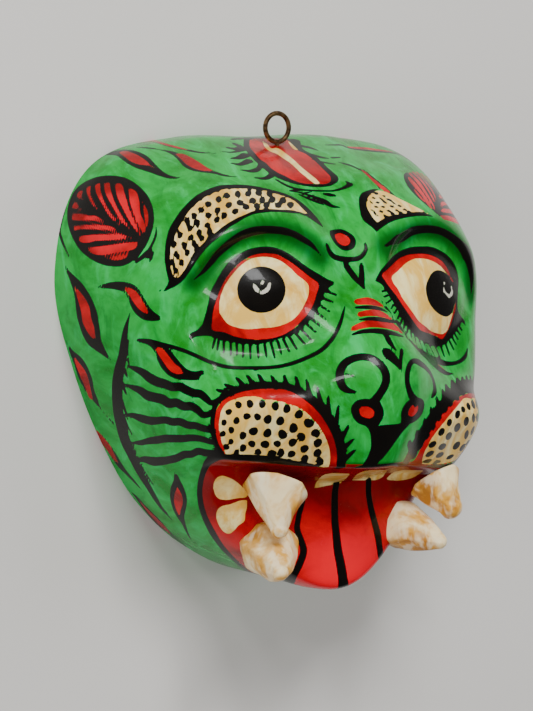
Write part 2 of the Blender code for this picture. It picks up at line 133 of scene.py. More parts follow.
# Fangs, a little uneven as set by hand: middle of the root and of the tip's ball, radii,
# length of the foot behind the root, lean of the root end to the right, power of the taper
FANGS = {
    "fang_upper_left": {
        "root": (-43.0 * MM, -59.9 * MM, 86.0 * MM), "tip": (-46.5 * MM, -79.3 * MM, 94.5 * MM),
        "root_radius": 15.9 * MM, "tip_radius": 4.6 * MM, "foot": 1.5 * MM, "lean": 0.25,
        "taper": 1.0,
    },
    "fang_upper_right": {
        "root": (58.0 * MM, -62.0 * MM, 86.0 * MM), "tip": (61.0 * MM, -74.6 * MM, 95.0 * MM),
        "root_radius": 14.0 * MM, "tip_radius": 6.2 * MM, "foot": 1.5 * MM, "lean": 0.0,
        "taper": 1.0,
    },
    "fang_lower_left": {
        "root": (-38.2 * MM, -92.2 * MM, 75.0 * MM), "tip": (-47.6 * MM, -100.5 * MM, 97.0 * MM),
        "root_radius": 14.8 * MM, "tip_radius": 4.4 * MM, "foot": 12.0 * MM, "lean": 0.0,
        "taper": 0.68,
    },
    "fang_lower_right": {
        "root": (45.6 * MM, -85.1 * MM, 75.0 * MM), "tip": (52.1 * MM, -91.5 * MM, 97.0 * MM),
        "root_radius": 12.6 * MM, "tip_radius": 4.4 * MM, "foot": 12.0 * MM, "lean": 0.0,
        "taper": 0.68,
    },
}
FANG_ROOT_EDGE = 1.0 * MM
FANG_CUTS = 7

# Fineness of the meshes
FRONT_GRID = 286
HOLLOW_GRID = 88
HOLLOW_EASING = 24
PALATE_STRIPS = 11
FANG_SIDES = 96
FANG_RINGS = 72

# Paint
PIXELS_PER_MM = 1.958
TRACE_STEP_PX = 1.4
FAR = 9.0

# Ear disc, photograph pixels
EAR_RIM_PX = (
    (110, 175.4), (125.7, 177.9), (138.6, 185.7), (148.6, 197.1), (153.6, 211.4), (153.6, 224.3),
    (150, 237.1), (144.3, 248.6), (135.7, 258.6), (125.7, 265), (114.3, 266.7), (101.4, 264.3),
    (90, 258.6), (80, 250), (72.9, 238.6), (68.6, 227.1), (67.1, 214.3), (69.3, 201.4), (75, 190),
    (84.3, 182.1), (97.1, 176.9),
)
EAR_LEAVES_PX = (
    ((76.7, 195.4), (80.7, 190.7), (83.1, 191.1), (81.7, 196.4), (85.7, 201.4), (78.6, 197.9)),
    ((86, 187.4), (90.7, 185.7), (90.3, 192.9), (94.3, 202.9), (100, 212.1), (92.9, 205.7), (87.4, 194.3)),
    ((94.6, 184.3), (100, 183.1), (100.7, 191.4), (107.1, 207.1), (120.7, 225.7), (111.4, 218.6),
     (102.1, 204.3), (96.4, 192.9)),
    ((104, 182.9), (109.7, 182.6), (110.7, 190), (117.1, 207.1), (131.9, 231.7), (121.4, 221.4),
     (112.9, 207.1), (105, 191.4)),
    ((114.6, 183.1), (121.4, 184.3), (124.3, 192.9), (130, 211.4), (142.6, 238.6), (134.3, 228.6),
     (124.3, 211.4), (117.1, 195.7)),
    ((128.3, 187.1), (135.7, 191.4), (138.9, 200), (140.3, 212.9), (145, 232.1), (142.9, 233.1),
     (135.7, 218.6), (130, 201.4)),
    ((142.1, 200.7), (147.1, 210), (148.3, 218.6), (147.1, 227.1), (145.4, 221.4), (143.6, 210)),
    ((71.9, 207.9), (74, 202.1), (76.4, 202.6), (79.3, 207.1), (86.9, 210.4), (78.6, 209.3)),
    ((72.1, 220), (72.1, 214), (76.4, 213.7), (87.1, 215.4), (97.1, 216.4), (104, 221), (92.9, 220.4),
     (78.6, 220.3)),
    ((73.1, 226), (78.6, 225.7), (95.7, 225), (111.4, 226.4), (121.4, 231.4), (107.1, 230),
     (78.6, 229.7), (74.3, 230.7)),
    ((77.4, 236.9), (85.7, 235.4), (107.1, 234.6), (124.3, 235), (132.1, 237.9), (115.7, 239.7),
     (97.1, 240.7), (81.4, 242.1)),
    ((85.7, 247.9), (100, 246.4), (121.4, 243.6), (139.3, 241.7), (135.7, 247.9), (122.9, 251.4),
     (110, 253.6), (101.4, 255), (92.9, 253.6)),
    ((105, 257.9), (117.1, 255.7), (129.3, 253.6), (125.7, 257.9), (114.3, 260.3)),
)
EAR_TAIL_PX = ((156.4, 227.6), (155.7, 235.7), (152.1, 244.3), (148.6, 250))
EAR_TAIL_DROPS_PX = (((151.5, 253), (150.5, 259.5)), ((148, 253), (141, 258), (136.5, 261.5)))

EAR_CENTRE_PX = (110.5, 221.5)
RIGHT_EAR_CENTRE_PX = (438, 199)
RIGHT_EAR_RADIUS = 22.0
CREST_PX = (
    (404, 215), (415, 212.5), (425, 213.5), (436, 217.5), (445, 219.5), (455, 222.5), (463, 227),
    (470, 233), (474, 243), (474, 262), (455, 262), (430, 250), (404, 250),
)

# Flames on the forehead, temples and cheeks, photograph pixels: black outline, red core
FLAME_RIGHT_PX = (
    (334.4, 160.6), (341, 162.2), (350, 164.4), (357.8, 167.8), (365.6, 170.6), (371, 175),
    (377.8, 180.6), (384.4, 185.6), (391, 191.7), (398, 198.5), (387.8, 193.9), (381, 189.4),
    (374.4, 183.9), (367.8, 177.2), (363.3, 172.8), (357.8, 169.4), (350, 166.1), (341, 163.3),
)
FLAME_RIGHT_CORE_PX = (
    (359.4, 168.9), (365.6, 171.7), (371, 176.7), (377.8, 182.2), (384.4, 187.2), (391, 192.8),
    (387.8, 193.3), (381, 188.3), (374.4, 182.8), (367.8, 176.1), (363.3, 172.2),
)
FLAME_TEMPLE_PX = (
    (87.1, 164.3), (100, 156.4), (110, 152.1), (121.4, 149.7), (130, 149.7), (141.4, 152.9),
    (148.6, 157.1), (155.7, 164.3), (162.9, 171.4), (171.4, 175.7), (185.7, 177.6), (171.4, 178.9),
    (158.6, 175.7), (148.6, 172.1), (135.7, 167.9), (128.6, 164.3), (121.4, 159.3), (117.1, 156),
    (111.4, 155), (104.3, 155.7), (97.1, 159.3),
)
FLAME_TEMPLE_CORE_PX = (
    (117.9, 151.7), (127.1, 151.4), (135.7, 154.3), (144.3, 159.3), (150, 164.3), (155, 168.6),
    (148.6, 165.7), (138.6, 164.3), (130, 160.7), (124.3, 156.4),
)
FLAME_FOREHEAD_PX = (
    (135.7, 146.7), (150, 147.4), (161.4, 149.3), (172.9, 151.4), (184.3, 155), (192.9, 159.3),
    (201.4, 163.6), (208.6, 167.9), (215.7, 171.4), (224.3, 174.3), (241.4, 177.2), (224.3, 176.4),
    (212.9, 173.6), (204.3, 172.6), (195.7, 171.4), (188.6, 169.3), (182.9, 165.7), (178.6, 160.7),
    (174.3, 156.4), (168.6, 152.9), (160, 150.3), (150, 148.9), (135.7, 147.7),
)
FLAME_FOREHEAD_CORE_PX = (
    (175, 153.6), (182.9, 154), (190, 157.1), (198.6, 162.1), (205.7, 166.9), (214.3, 171.4),
    (201.4, 170.4), (192.9, 167.9), (185.7, 163.6), (180, 157.9),
)
FLAME_SIDE_PX = (
    (65, 264), (65.6, 270), (68.8, 277.5), (71.9, 286.3), (74.4, 295), (75.6, 305), (76.9, 316.3),
    (80, 327.5), (83.8, 337.5), (88.8, 345), (95, 350), (102.5, 355), (108.8, 359.4), (112.5, 361.4),
    (108.8, 356.3), (105, 348.8), (101.3, 340), (100, 330), (98.8, 322.5), (97.5, 313.8),
    (95, 306.3), (91.3, 297.5), (87.5, 291.3), (82.5, 283.8), (75, 276.3), (68.8, 270),
)
FLAME_SIDE_CORE_PX = (
    (74.4, 285.6), (80, 291.9), (85.6, 299.4), (89.4, 307.5), (91.3, 318.8), (93.8, 326.3),
    (95.6, 339.4), (92.5, 338.1), (88.8, 333.8), (85, 327.5), (82.5, 321.3), (81.3, 312.5),
    (78.8, 302.5), (76.3, 293.8),
)
FLAME_UNDER_EAR_PX = (
    (94.8, 287.3), (102.5, 284.4), (110, 282.3), (120, 281.5), (130, 283.1), (137.5, 287.5),
    (142.5, 295), (147.5, 303.8), (152.5, 310.6), (157.5, 314.4), (160.6, 317.3), (160, 320),
    (156.3, 321), (150, 321), (143.8, 319.8), (137.5, 315.6), (132.5, 309.4), (130, 303.8),
    (127.5, 297.5), (123.8, 292.5), (117.5, 290), (110, 288.8), (100, 288.1),
)
FLAME_UNDER_EAR_CORE_PX = (
    (122.9, 287.3), (128.8, 287.8), (133.8, 290), (138.8, 295), (142.5, 301.3), (146.9, 308.8),
    (149.4, 314.4), (143.8, 312.5), (138.8, 308.8), (133.8, 302.5), (130, 296.3), (126.3, 291.3),
)
FLAME_CHEEK_PX = (
    (65, 338.5), (67.5, 345), (70.6, 355), (73.8, 365), (76.9, 373.8), (81.3, 383.8), (86.3, 392.5),
    (92.5, 400), (100, 408.8), (106.3, 416.3), (112.5, 423.8), (116.3, 427.5), (112.5, 421.3),
    (106.3, 415), (100, 406.3), (97.5, 398.8), (93.8, 388.8), (92.5, 380), (88.8, 370), (85, 362.5),
    (80, 356.3), (72.5, 350), (67.5, 342.5),
)
FLAME_CHEEK_CORE_PX = (
    (72.5, 353.8), (78.8, 362.5), (83.8, 368.8), (87.5, 376.3), (90, 386.3), (93.1, 400), (90, 398.1),
    (86.3, 390), (82.5, 381.3), (78.8, 372.5), (75, 362.5),
)
FLAME_JAW_PX = (
    (81.4, 409.3), (84.3, 415.7), (90, 427.1), (95.7, 437.1), (102.9, 445.7), (110, 455.7),
    (117.1, 465.7), (125.7, 474.3), (134.3, 482.9), (142.9, 491.4), (134.3, 480), (127.1, 471.4),
    (121.4, 462.9), (117.1, 455.7), (110, 444.3), (102.9, 435.7), (95.7, 428.6), (91.4, 422.9),
    (85.7, 414.3),
)
FLAME_JAW_CORE_PX = (
    (90.7, 425), (97.1, 430.7), (104.3, 438.6), (110, 445.7), (114.3, 454.3), (119.3, 465),
    (112.9, 458.6), (107.1, 450), (101.4, 442.9), (94.3, 432.9),
)
FLAME_CHIN_PX = (
    (130.7, 491.4), (137.1, 500), (144.3, 510), (151.4, 518.6), (160, 527.1), (170, 534.3),
    (178.6, 541.4), (188.6, 548.6), (200, 555.7), (185.7, 545.7), (177.1, 538.6), (168.6, 530),
    (160, 520), (151.4, 511.4), (144.3, 504.3), (137.1, 496.4),
)
FLAME_CHIN_CORE_PX = (
    (139.3, 500.7), (148.6, 510), (157.1, 518.6), (165.7, 527.1), (170.7, 534.3), (162.9, 528.6),
    (152.9, 518.6), (145.7, 510),
)
FLAME_BESIDE_MOUTH_PX = (
    (174.3, 471.7), (173.6, 480), (170.7, 487.1), (170, 494.3), (170.7, 501.4), (172.9, 508.6),
    (177.1, 517.1), (181.4, 522.9), (184.3, 528.6), (187.9, 535.7), (192.1, 541.1), (187.9, 531.4),
    (185.7, 524.3), (184.3, 517.1), (185.7, 510), (186.9, 502.9), (186.4, 495.7), (183.6, 487.1),
    (180.7, 481.4), (177.9, 475.7),
)
FLAME_BESIDE_MOUTH_CORE_PX = (
    (177.4, 487.1), (180.7, 492.9), (182.6, 498.6), (182.6, 504.3), (180.7, 510), (179.7, 516.4),
    (176.4, 510), (174.3, 502.9), (174.3, 495.7),
)
FLAME_EYE_TAIL_PX = (
    (137.5, 338.1), (145, 339.4), (153.8, 342.5), (162.5, 345), (170, 350), (175, 356.3),
    (181.3, 363.8), (187.5, 369.4), (195, 371.3), (203.8, 371), (204.8, 373.8), (200, 376.3),
    (199.8, 380.2), (185, 380), (175, 378.5), (167.5, 374.4), (161.3, 367.5), (157.5, 360),
    (155, 352.5), (150, 346.3), (142.5, 343.1), (136.3, 341.9),
)
FLAME_EYE_TAIL_CORE_PX = (
    (155, 348.1), (160, 347.5), (165, 351.3), (170, 357.5), (175, 363.8), (180, 367.5), (183.8, 373.5),
    (176.3, 373.8), (170, 370.6), (163.8, 362.5), (158.8, 355),
)
FLAMES_PX = (
    (FLAME_TEMPLE_PX, FLAME_TEMPLE_CORE_PX),
    (FLAME_FOREHEAD_PX, FLAME_FOREHEAD_CORE_PX),
    (FLAME_SIDE_PX, FLAME_SIDE_CORE_PX),
    (FLAME_UNDER_EAR_PX, FLAME_UNDER_EAR_CORE_PX),
    (FLAME_CHEEK_PX, FLAME_CHEEK_CORE_PX),
    (FLAME_JAW_PX, FLAME_JAW_CORE_PX),
    (FLAME_CHIN_PX, FLAME_CHIN_CORE_PX),
    (FLAME_BESIDE_MOUTH_PX, FLAME_BESIDE_MOUTH_CORE_PX),
    (FLAME_EYE_TAIL_PX, FLAME_EYE_TAIL_CORE_PX),
)

# Brow bands, photograph pixels
BROW_PX = (
    (155, 290.7), (163.6, 288.6), (168.3, 283.5), (166.4, 271.4), (164.7, 260), (165, 248.6),
    (166.4, 238.6), (169.3, 228.6), (174.3, 220), (180.7, 210.7), (189.3, 201.4), (197.9, 194.3),
    (209.3, 188.6), (219.3, 185.4), (232.1, 184.6), (245, 184.8), (255, 186), (265, 188),
    (275, 190.5), (285, 193.5), (295, 198), (303, 203.5), (311, 211), (318, 219), (324.8, 228.7),
    (320, 225.5), (315, 222), (309, 218), (303, 215), (295, 213.5), (285, 212.5), (275, 212),
    (265, 212.5), (255, 214), (245, 218), (237, 223), (228, 228.5), (219.3, 237.1), (212.1, 242.9),
    (205, 250), (199.3, 257.1), (193.6, 265.7), (187.9, 274.3), (183.6, 280), (176.4, 285.7),
    (170.7, 288.6), (163.6, 291.4),
)
BROW_CREAM_PX = (
    (171.4, 271.4), (170, 260), (170.4, 248.6), (173.6, 238.6), (177.1, 230.7), (183.6, 219.3),
    (189.3, 210.7), (196.4, 203.6), (203.6, 197.9), (213.6, 192.9), (223.6, 189.3), (235, 188.6),
    (245, 188.5), (257, 189.5), (267, 191), (277, 194), (285, 196.5), (291, 199), (296, 202),
    (300, 206), (305, 211), (311, 216.5), (305, 213.5), (298, 211.5), (291, 210), (280, 209.5),
    (267, 209), (255, 210.5), (245, 214.5), (235, 219), (225, 225), (215, 232.9), (207.9, 238.6),
    (200.7, 245.7), (193.6, 252.9), (189.3, 261.4), (183.6, 271.4), (176.4, 277.9), (173, 275.5),
)
BROW_DOTS_PX = (
    (175.8, 270.8), (181.2, 262.5), (171.9, 262.5), (176.3, 254.5), (187.3, 252.8), (174.2, 244.2),
    (184.2, 245), (195, 245), (180, 235), (190.8, 237.8), (201.5, 238), (190, 228), (199.2, 232.5),
    (187, 220.5), (197, 223), (210, 233), (207.5, 225.5), (194.2, 216), (208.3, 215.3), (216.8, 219.8),
    (201.2, 210), (217.5, 210.4), (224.2, 215.4), (208.3, 204.2), (228.8, 205), (235.3, 211.4),
    (218.7, 199.4), (240, 202.6), (246, 206.9), (226.8, 195.6), (237.8, 194.2), (252.6, 200.6),
    (257, 206.2), (248.3, 193.4), (262.3, 200), (258.8, 193), (266.6, 205), (272.3, 199.6),
    (269.6, 193.8), (278.4, 205), (283, 200.2), (290.5, 204.7),
)
BROW_NOTCHES_PX = (
    (170.6, 252), (176.5, 229.5), (181.5, 220.5), (187.3, 212), (193.8, 205.5), (200.6, 199.6),
    (209.3, 194.6), (218.5, 191), (230, 188.4), (242, 187.6), (253, 188), (264, 189.4), (276, 193),
)
BROW_DOT_PX = 3.4
BROW_NOTCH_PX = 1.3
RIGHT_BROW_PX = (
    (359.3, 197), (359, 204), (360, 211.4), (363, 220), (368, 224.3), (373.6, 228.6), (376.4, 232),
    (380.7, 228.6), (387.9, 223.6), (396.4, 220), (405, 217.9), (415, 216.4), (426.4, 216),
    (435, 217.1), (423.6, 210.7), (412, 204.3), (400.7, 198.6), (390.7, 193.6), (381.4, 190),
    (375, 189), (367.9, 190.3), (362, 193),
)
RIGHT_BROW_CREAM_PX = (
    (372, 193), (368.6, 196.4), (366.7, 202.9), (367, 207), (370, 212.9), (373.6, 218.6),
    (377.6, 222.6), (381.4, 220), (387.9, 216.4), (395, 215), (405, 213.6), (415, 212), (422, 212),
    (432, 215.7), (422, 210), (412, 205), (397.9, 197.9), (387.9, 193), (380.7, 190.7), (375, 191.4),
)
RIGHT_BROW_DASHES_PX = (
    (376.4, 193.7), (384.3, 196.4), (373.3, 197.6), (381.1, 198.9), (389, 199.7), (370.7, 201.9),
    (377.9, 202.6), (385.7, 202.9), (393.6, 202.9), (375.7, 206.4), (383.6, 207.1), (391.4, 206.1),
    (399.3, 205.7), (372.9, 210.7), (380.7, 211), (388.6, 210.7), (396.4, 210), (404.3, 209.3),
    (376.4, 215), (384.3, 215), (392.9, 213.6), (400.7, 212.6), (408.6, 211.4),
)
RIGHT_BROW_DASH_PX = (2.7, 1.15, -17)
# Eyes, photograph pixels
EYE_OUTLINE_PX = (
    (184.3, 335.7), (190.7, 332.9), (197.9, 329.3), (202.1, 324.3), (205, 315.7), (207.9, 304.3),
    (210.7, 291.4), (215, 282.9), (220.7, 272.9), (227.9, 262.9), (236.4, 255.7), (246.4, 250),
    (257.9, 247.1), (266.4, 246.4), (276.4, 247.9), (286.4, 252.1), (295, 257.9), (303.6, 264.3),
    (312.1, 270), (320.7, 275), (327.9, 279.3), (337.1, 282.9), (330, 287), (323, 296),
    (319.5, 305.7), (313.6, 315.7), (306.4, 324.3), (297.9, 331.4), (287.9, 337.1), (276.4, 341.4),
    (263.6, 343.6), (252.1, 344.3), (240.7, 343.6), (229.3, 341.4), (219.3, 339.3), (210.7, 336.4),
    (202, 336), (195, 337.1), (189.3, 340.7), (190.5, 337),
)
EYE_RED_PX = (
    (212.1, 329.3), (212.1, 322.9), (212.9, 312.9), (215, 304.3), (217.9, 295.7), (222.1, 285.7),
    (227.9, 275.7), (235, 267.1), (243.6, 260), (252.1, 255.7), (260.7, 253.6), (269.3, 253.6),
    (276.4, 254.3), (283.6, 257.9), (290.7, 262.1), (299.3, 268.6), (306.4, 274.3), (312.1, 278.6),
    (318.5, 284), (316.4, 294.3), (312.1, 307.1), (305, 317.1), (297.9, 324.3), (289.3, 331.4),
    (280.7, 335.7), (269.3, 338.6), (257.9, 339.3), (246.4, 338.6), (235, 336.4), (223.6, 332.1),
)
EYE_CREAM_PX = (
    (220, 312.9), (219.6, 302.9), (221.4, 294.3), (225, 285.7), (230.7, 277.1), (237.9, 268.6),
    (246.4, 261.4), (255, 257.9), (266.4, 257.1), (275, 258.6), (283.6, 262.9), (290.7, 268.6),
    (297.9, 275.7), (303.6, 280), (307.9, 284.3), (308.6, 292.9), (305, 302.9), (299.3, 312.9),
    (292.1, 320), (283.6, 324.3), (272.1, 327.1), (260.7, 327.9), (246.4, 328.9), (236.4, 327.1),
    (227.9, 323.6), (223.6, 318.6),
)
PUPIL_CENTRE_PX = (261.4, 289.7)
PUPIL_HALF_PX = (24.2, 23.2)
# Painted highlight on the left pupil: a spark and a crescent
PUPIL_SPARK_PX = (262.1, 281.6)
PUPIL_SPARK_HALF_PX = (2.5, 2.5)
PUPIL_CRESCENT_PX = ((254, 284), (256, 289), (261.5, 292), (267.4, 289.6), (270, 282))
PUPIL_CRESCENT_HALF_PX = (1.5, 2.1, 2.1, 1.9, 1.3)
LASHES_PX = (
    ((215.6, 336.5), (212.5, 348.1)), ((219, 338), (217.3, 349.4)), ((223.8, 339.5), (223.8, 352.5)),
    ((230.6, 341.5), (231, 354.8)), ((236.5, 343), (237.3, 355)), ((243.1, 343.5), (243.1, 357.3)),
    ((250, 344), (250.4, 357.8)), ((257.5, 344), (258.5, 358.1)), ((264.4, 343), (266.5, 356.9)),
    ((270.6, 342), (274.8, 356.9)), ((277.5, 340.5), (281.3, 353.5)), ((283.1, 338.5), (289.4, 351.9)),
    ((288.8, 336), (296.4, 348.6)), ((295, 332.5), (305, 344.3)), ((300.7, 328.5), (310.7, 339.3)),
    ((306.4, 323.5), (315.7, 332.1)), ((311, 318.5), (320.7, 326.4)), ((315.5, 311.5), (325, 318.6)),
    ((319, 305), (328.6, 310.7)), ((322, 298), (332.9, 302.1)), ((324.5, 290.5), (336.4, 295)),
)
LASH_PX = 1.45
RIDGE_LINE_PX = (
    (194.3, 279.3), (203.6, 271), (210, 263), (217, 254), (227, 245), (238.5, 237.5), (249.3, 232.9),
    (260.7, 230.4), (272.1, 230.1), (283.6, 231.1), (293.6, 233.9), (302.1, 238.6), (310, 243.6),
    (316, 249.3), (320.5, 255),
)
RIDGE_LINE_HALF_PX = (0.4, 2.0, 2.9, 3.3, 3.8, 4, 4.3, 4, 4.1, 4, 3.5, 3.2, 2.7, 1.5, 0.3)
UNDER_EYE_PX = (
    (140, 340), (150, 341), (162.5, 344.4), (175, 347.7), (187.5, 352), (200, 357.5), (210, 361.9),
    (220, 365.3), (230, 367.3), (240, 367.9), (250, 367.9), (260, 367.9), (270, 367.5),
    (280, 366.3), (290, 364), (300, 360.6), (310, 356.3), (320, 351), (327.5, 344.5), (333.5, 337),
    (339.3, 325.7), (342.9, 314.3), (345, 305.7),
)
UNDER_EYE_HALF_PX = (
    1.5, 2, 2, 2, 2, 2, 2, 2, 1.9, 1.9, 1.9, 1.9, 1.9, 1.9, 2, 2.1, 2.1, 2.2, 2.2, 2.1, 1.9, 1.5, 0.3,
)

RIGHT_EYE_PX = (
    (375, 280.7), (380, 271.4), (385.7, 264.3), (393.6, 255.7), (402, 250), (412, 247),
    (422, 246.4), (432, 247), (440.7, 250.7), (447.9, 255.7), (453.6, 262.9), (457, 271.4),
    (458.6, 280), (458, 291.4), (457.6, 301.4), (458, 310), (460.7, 315.7), (465, 321.4),
    (465.7, 325.7), (462, 322), (459.3, 325.7), (455, 332.9), (449.3, 340), (443.6, 345),
    (437.9, 346.4), (432, 345.7), (426.4, 343.6), (420.7, 340), (415, 335.7), (410.7, 330),
    (406.4, 324.3), (402, 317.9), (397.9, 310), (393.6, 302.9), (389.3, 295.7), (385.7, 290),
    (381.4, 284.3),
)
RIGHT_EYE_RED_PX = (
    (382, 275), (387.9, 269.3), (393.6, 263.6), (399.3, 258.6), (407.9, 255), (417.9, 253.9),
    (426.4, 254.3), (435, 256.9), (442, 261.4), (447, 267.9), (450, 274.3), (453, 281), (455, 290),
    (455.5, 300), (455.7, 308.6), (453.6, 315.7), (450.7, 324.3), (446.4, 332.9), (442, 338.9),
    (436.4, 336.4), (429.3, 333.6), (420.7, 330), (413.6, 321.4), (407.9, 312.9), (402, 304.3),
    (396.4, 295.7), (390.7, 288.6), (385.7, 281.4),
)
RIGHT_EYE_CREAM_PX = (
    (391.9, 277), (397.9, 271.4), (405, 264.3), (413.6, 259.3), (420.7, 258.6), (429.3, 260),
    (437.9, 264.3), (445, 270.7), (449.3, 277), (453.6, 284.3), (455.7, 291.4), (455.4, 301.4),
    (453.6, 310), (452, 315.7), (449.3, 324.3), (446.4, 331.4), (442, 333.9), (436.4, 332.9),
    (430.7, 330.7), (426.4, 327), (419.3, 321.4), (413.6, 313.6), (407.9, 305.7), (402, 297),
    (397.9, 288.6), (393.6, 282.9),
)
RIGHT_PUPIL_PX = (
    (429.3, 277), (426, 285.7), (426.4, 294.3), (429.3, 302.9), (435, 310.7), (440.7, 315),
    (446.4, 316.7), (451.4, 313.6), (454.3, 305.7), (455.7, 297), (455, 288.6), (452, 281.4),
    (447.9, 275), (442, 271), (436.4, 270.3), (432, 272.9),
)
# Painted highlight on the right pupil: a spark and a crescent
RIGHT_SPARK_PX = (443.9, 282.9)
RIGHT_SPARK_HALF_PX = (1.3, 1.3)
RIGHT_CRESCENT_PX = ((443.4, 287), (445, 293), (449, 296.4), (452, 293), (451.4, 287))
RIGHT_CRESCENT_HALF_PX = (0.5, 1.0, 1.4, 1.0, 0.5)
RIGHT_LASHES_PX = (
    ((419, 340), (422.9, 350)), ((423.6, 342.9), (428.6, 352.9)), ((429.3, 345), (434.3, 355)),
    ((435, 346), (439.6, 356.4)), ((440.7, 346), (444.3, 356.4)), ((445.7, 344), (449.3, 354.3)),
    ((449.3, 340.5), (453.6, 349.3)), ((452, 337), (455.9, 344)), ((454.3, 332.9), (457.9, 339.3)),
    ((456.7, 329.3), (460, 334.3)), ((459, 326), (461.9, 330)), ((386, 290.5), (381.5, 291.5)),
    ((388.6, 295), (384, 297)), ((391.5, 299.5), (387.5, 302.5)), ((394, 304), (391, 308.5)),
    ((397, 309), (394.5, 313.5)), ((400, 313.5), (397.5, 319)), ((402.5, 318), (400.5, 324)),
    ((405, 322.5), (403.5, 329)), ((408, 327), (407, 333.5)), ((411, 331), (411.3, 338)),
    ((414.5, 335), (416, 343)),
)
RIGHT_LASH_PX = 1.2
RIGHT_RIDGE_LINE_PX = (
    (386, 245.7), (393, 241.5), (400, 238), (412, 231.2), (426.4, 229.3), (440.7, 231.4),
    (452, 237.3), (460.7, 244.6), (469, 254.3), (471.5, 262.9), (472, 271.4), (472, 280),
    (471.5, 288.6), (471, 294),
)
RIGHT_RIDGE_LINE_HALF_PX = (1.5, 2.4, 2.6, 3.4, 3.6, 3.8, 3.9, 4, 4, 3.2, 2.4, 1.8, 1, 0.3)
RIGHT_UNDER_EYE_PX = (
    (((381, 300), (388, 309), (396, 320), (404, 332), (411, 341.5), (418, 349), (424, 353),
      (430, 357), (438, 361), (446, 363.3), (454, 363.3), (461, 360.5), (465.8, 355.5), (467.5, 349)),
     (0.3, 0.4, 0.5, 0.6, 0.7, 1, 1.6, 1.9, 2, 2, 1.9, 1.8, 1.5, 0.4)),
    (((417, 350), (424, 356), (431, 362), (438, 367.5), (444, 371.8), (449, 373.6), (454.5, 373.3)),
     (0.5, 1, 1.8, 2.2, 1.8, 1, 0.3)),
    (((384, 306), (395, 321.5), (404, 334), (414, 346.5), (420, 352)), (0.3, 0.4, 0.4, 0.5, 0.5)),
)
RIGHT_UNDER_EYE_RED_PX = ((432, 361.3), (437, 365), (442, 369), (446, 371.6))
RIGHT_UNDER_EYE_RED_HALF_PX = (0.4, 1, 1, 0.3)

# Third eye, bars and drops on the brow and nose, photograph pixels
THIRD_EYE_PX = (
    (329.4, 230.6), (332.5, 229.8), (342.5, 229.4), (348.8, 232.5), (353.8, 236.3), (356, 242.5),
    (353.8, 248.1), (348.1, 250.6), (342.5, 250), (337.5, 246.3), (332.5, 240), (330, 235),
)
THIRD_EYE_RED_PX = (
    (334.4, 235), (338.8, 233.1), (345, 235), (350, 239.4), (349.4, 243.8), (345.6, 245.6),
    (340.6, 244.4), (336.3, 240),
)
THIRD_EYE_ARC_PX = (
    (327.3, 245.6), (329.4, 251.3), (333.8, 256.3), (341.3, 258.8), (350, 259.4), (358.8, 258.1),
    (363.8, 253.8), (366, 248.8), (365.3, 244.4),
)
THIRD_EYE_ARC_HALF_PX = (1.5, 2.2, 2.5, 2.6, 2.6, 2.5, 2.2, 2, 1.2)
NOSE_V_PX = (
    (((346.3, 265.6), (353.8, 276.3), (363.1, 286.9)), (2.8, 3, 1.5)),
    (((361.3, 266.3), (361.9, 275), (363.1, 286.9)), (2.2, 2.8, 1.5)),
)
NOSE_BARS_PX = (
    (((357.5, 301.9), (363.8, 301.3), (370, 301.3), (376.3, 303.1), (383, 306.5)), (2.5, 3, 2.8, 2.2, 0.8)),
    (((360, 314.4), (367.5, 313.1), (375, 312.9), (382.5, 314.4), (390, 317.5)), (2.2, 2.5, 2.5, 2.2, 0.8)),
    (((353.1, 328.8), (361.3, 325.6), (370, 324), (380, 323.8), (388.8, 325), (396.3, 328.1),
      (401.3, 332.5)), (2, 2.8, 3, 3.2, 3, 2.2, 0.8)),
)
NOSE_BAR_SHADOWS_PX = (
    (((355.6, 307.5), (363.8, 307.3), (372.5, 307.5), (380, 308.8), (386.3, 311.3)), (1, 1.8, 1.8, 1.5, 0.5)),
    (((359.4, 320), (370, 318.8), (380, 319.4), (387.5, 320.6), (394.4, 322.5)), (1, 1.8, 2, 1.6, 0.5)),
    (((352.8, 334.4), (361.3, 331.9), (370, 331), (380, 331.3), (390, 332.5), (398.8, 335),
      (403.1, 336.5)), (1, 2, 2.2, 2.5, 2, 1.2, 0.4)),
)
NOSE_DROP_PX = ((387, 336.9), (390, 342.5), (395, 349.4))
NOSE_DROP_HALF_PX = (2.2, 2.6, 0.8)
NOSE_LEAF_PX = (
    (381.3, 348.8), (385, 347.8), (390, 349.4), (396.3, 355.6), (398.8, 360), (400, 348.1),
    (402.8, 348.8), (402.5, 360), (401.9, 372.8), (396.3, 366.3), (390, 361.3), (383.8, 356.3),
)

# Nose, photograph pixels
NOSTRIL_LEFT_PX = (
    (354.4, 391.9), (348.1, 390.6), (342.5, 386.3), (340, 378.8), (340.6, 370), (345, 363.1),
    (352.5, 358.8), (361.3, 356.9), (371.3, 358.1), (378.8, 363.1), (384.4, 370), (386.3, 378.8),
    (384.4, 386.3), (380, 393.8), (375, 400.5),
)
NOSTRIL_LEFT_HALF_PX = (1.5, 3, 4, 4.4, 4.2, 4, 3.8, 3.6, 3.6, 3.8, 4, 4, 4, 4, 4.5)
NOSTRIL_LEFT_TICK_PX = ((345.6, 373.8), (350, 375), (356.3, 377.5))
NOSTRIL_RIGHT_PX = (
    (432.2, 396.3), (434.6, 391.3), (434.2, 383.8), (431.3, 375), (425, 366.9), (417.5, 361.9),
    (412.5, 361.3), (409.2, 366.3), (407.5, 373.8), (407.3, 381.3), (409.2, 390), (412.5, 397.5),
    (416.3, 402),
)
NOSTRIL_RIGHT_HALF_PX = (1, 2, 2, 1.7, 1.7, 2, 2, 2.2, 2.4, 2.4, 2.6, 3, 3.5)
NOSE_RING_LEFT_PX = (
    (350.8, 410), (352, 405.5), (356, 401), (362, 399), (368, 398.8), (374, 400), (380, 403),
    (383, 408), (383.8, 414), (382, 420), (378, 424.5), (371, 427), (364, 425.5), (358, 423),
    (353.5, 418),
)
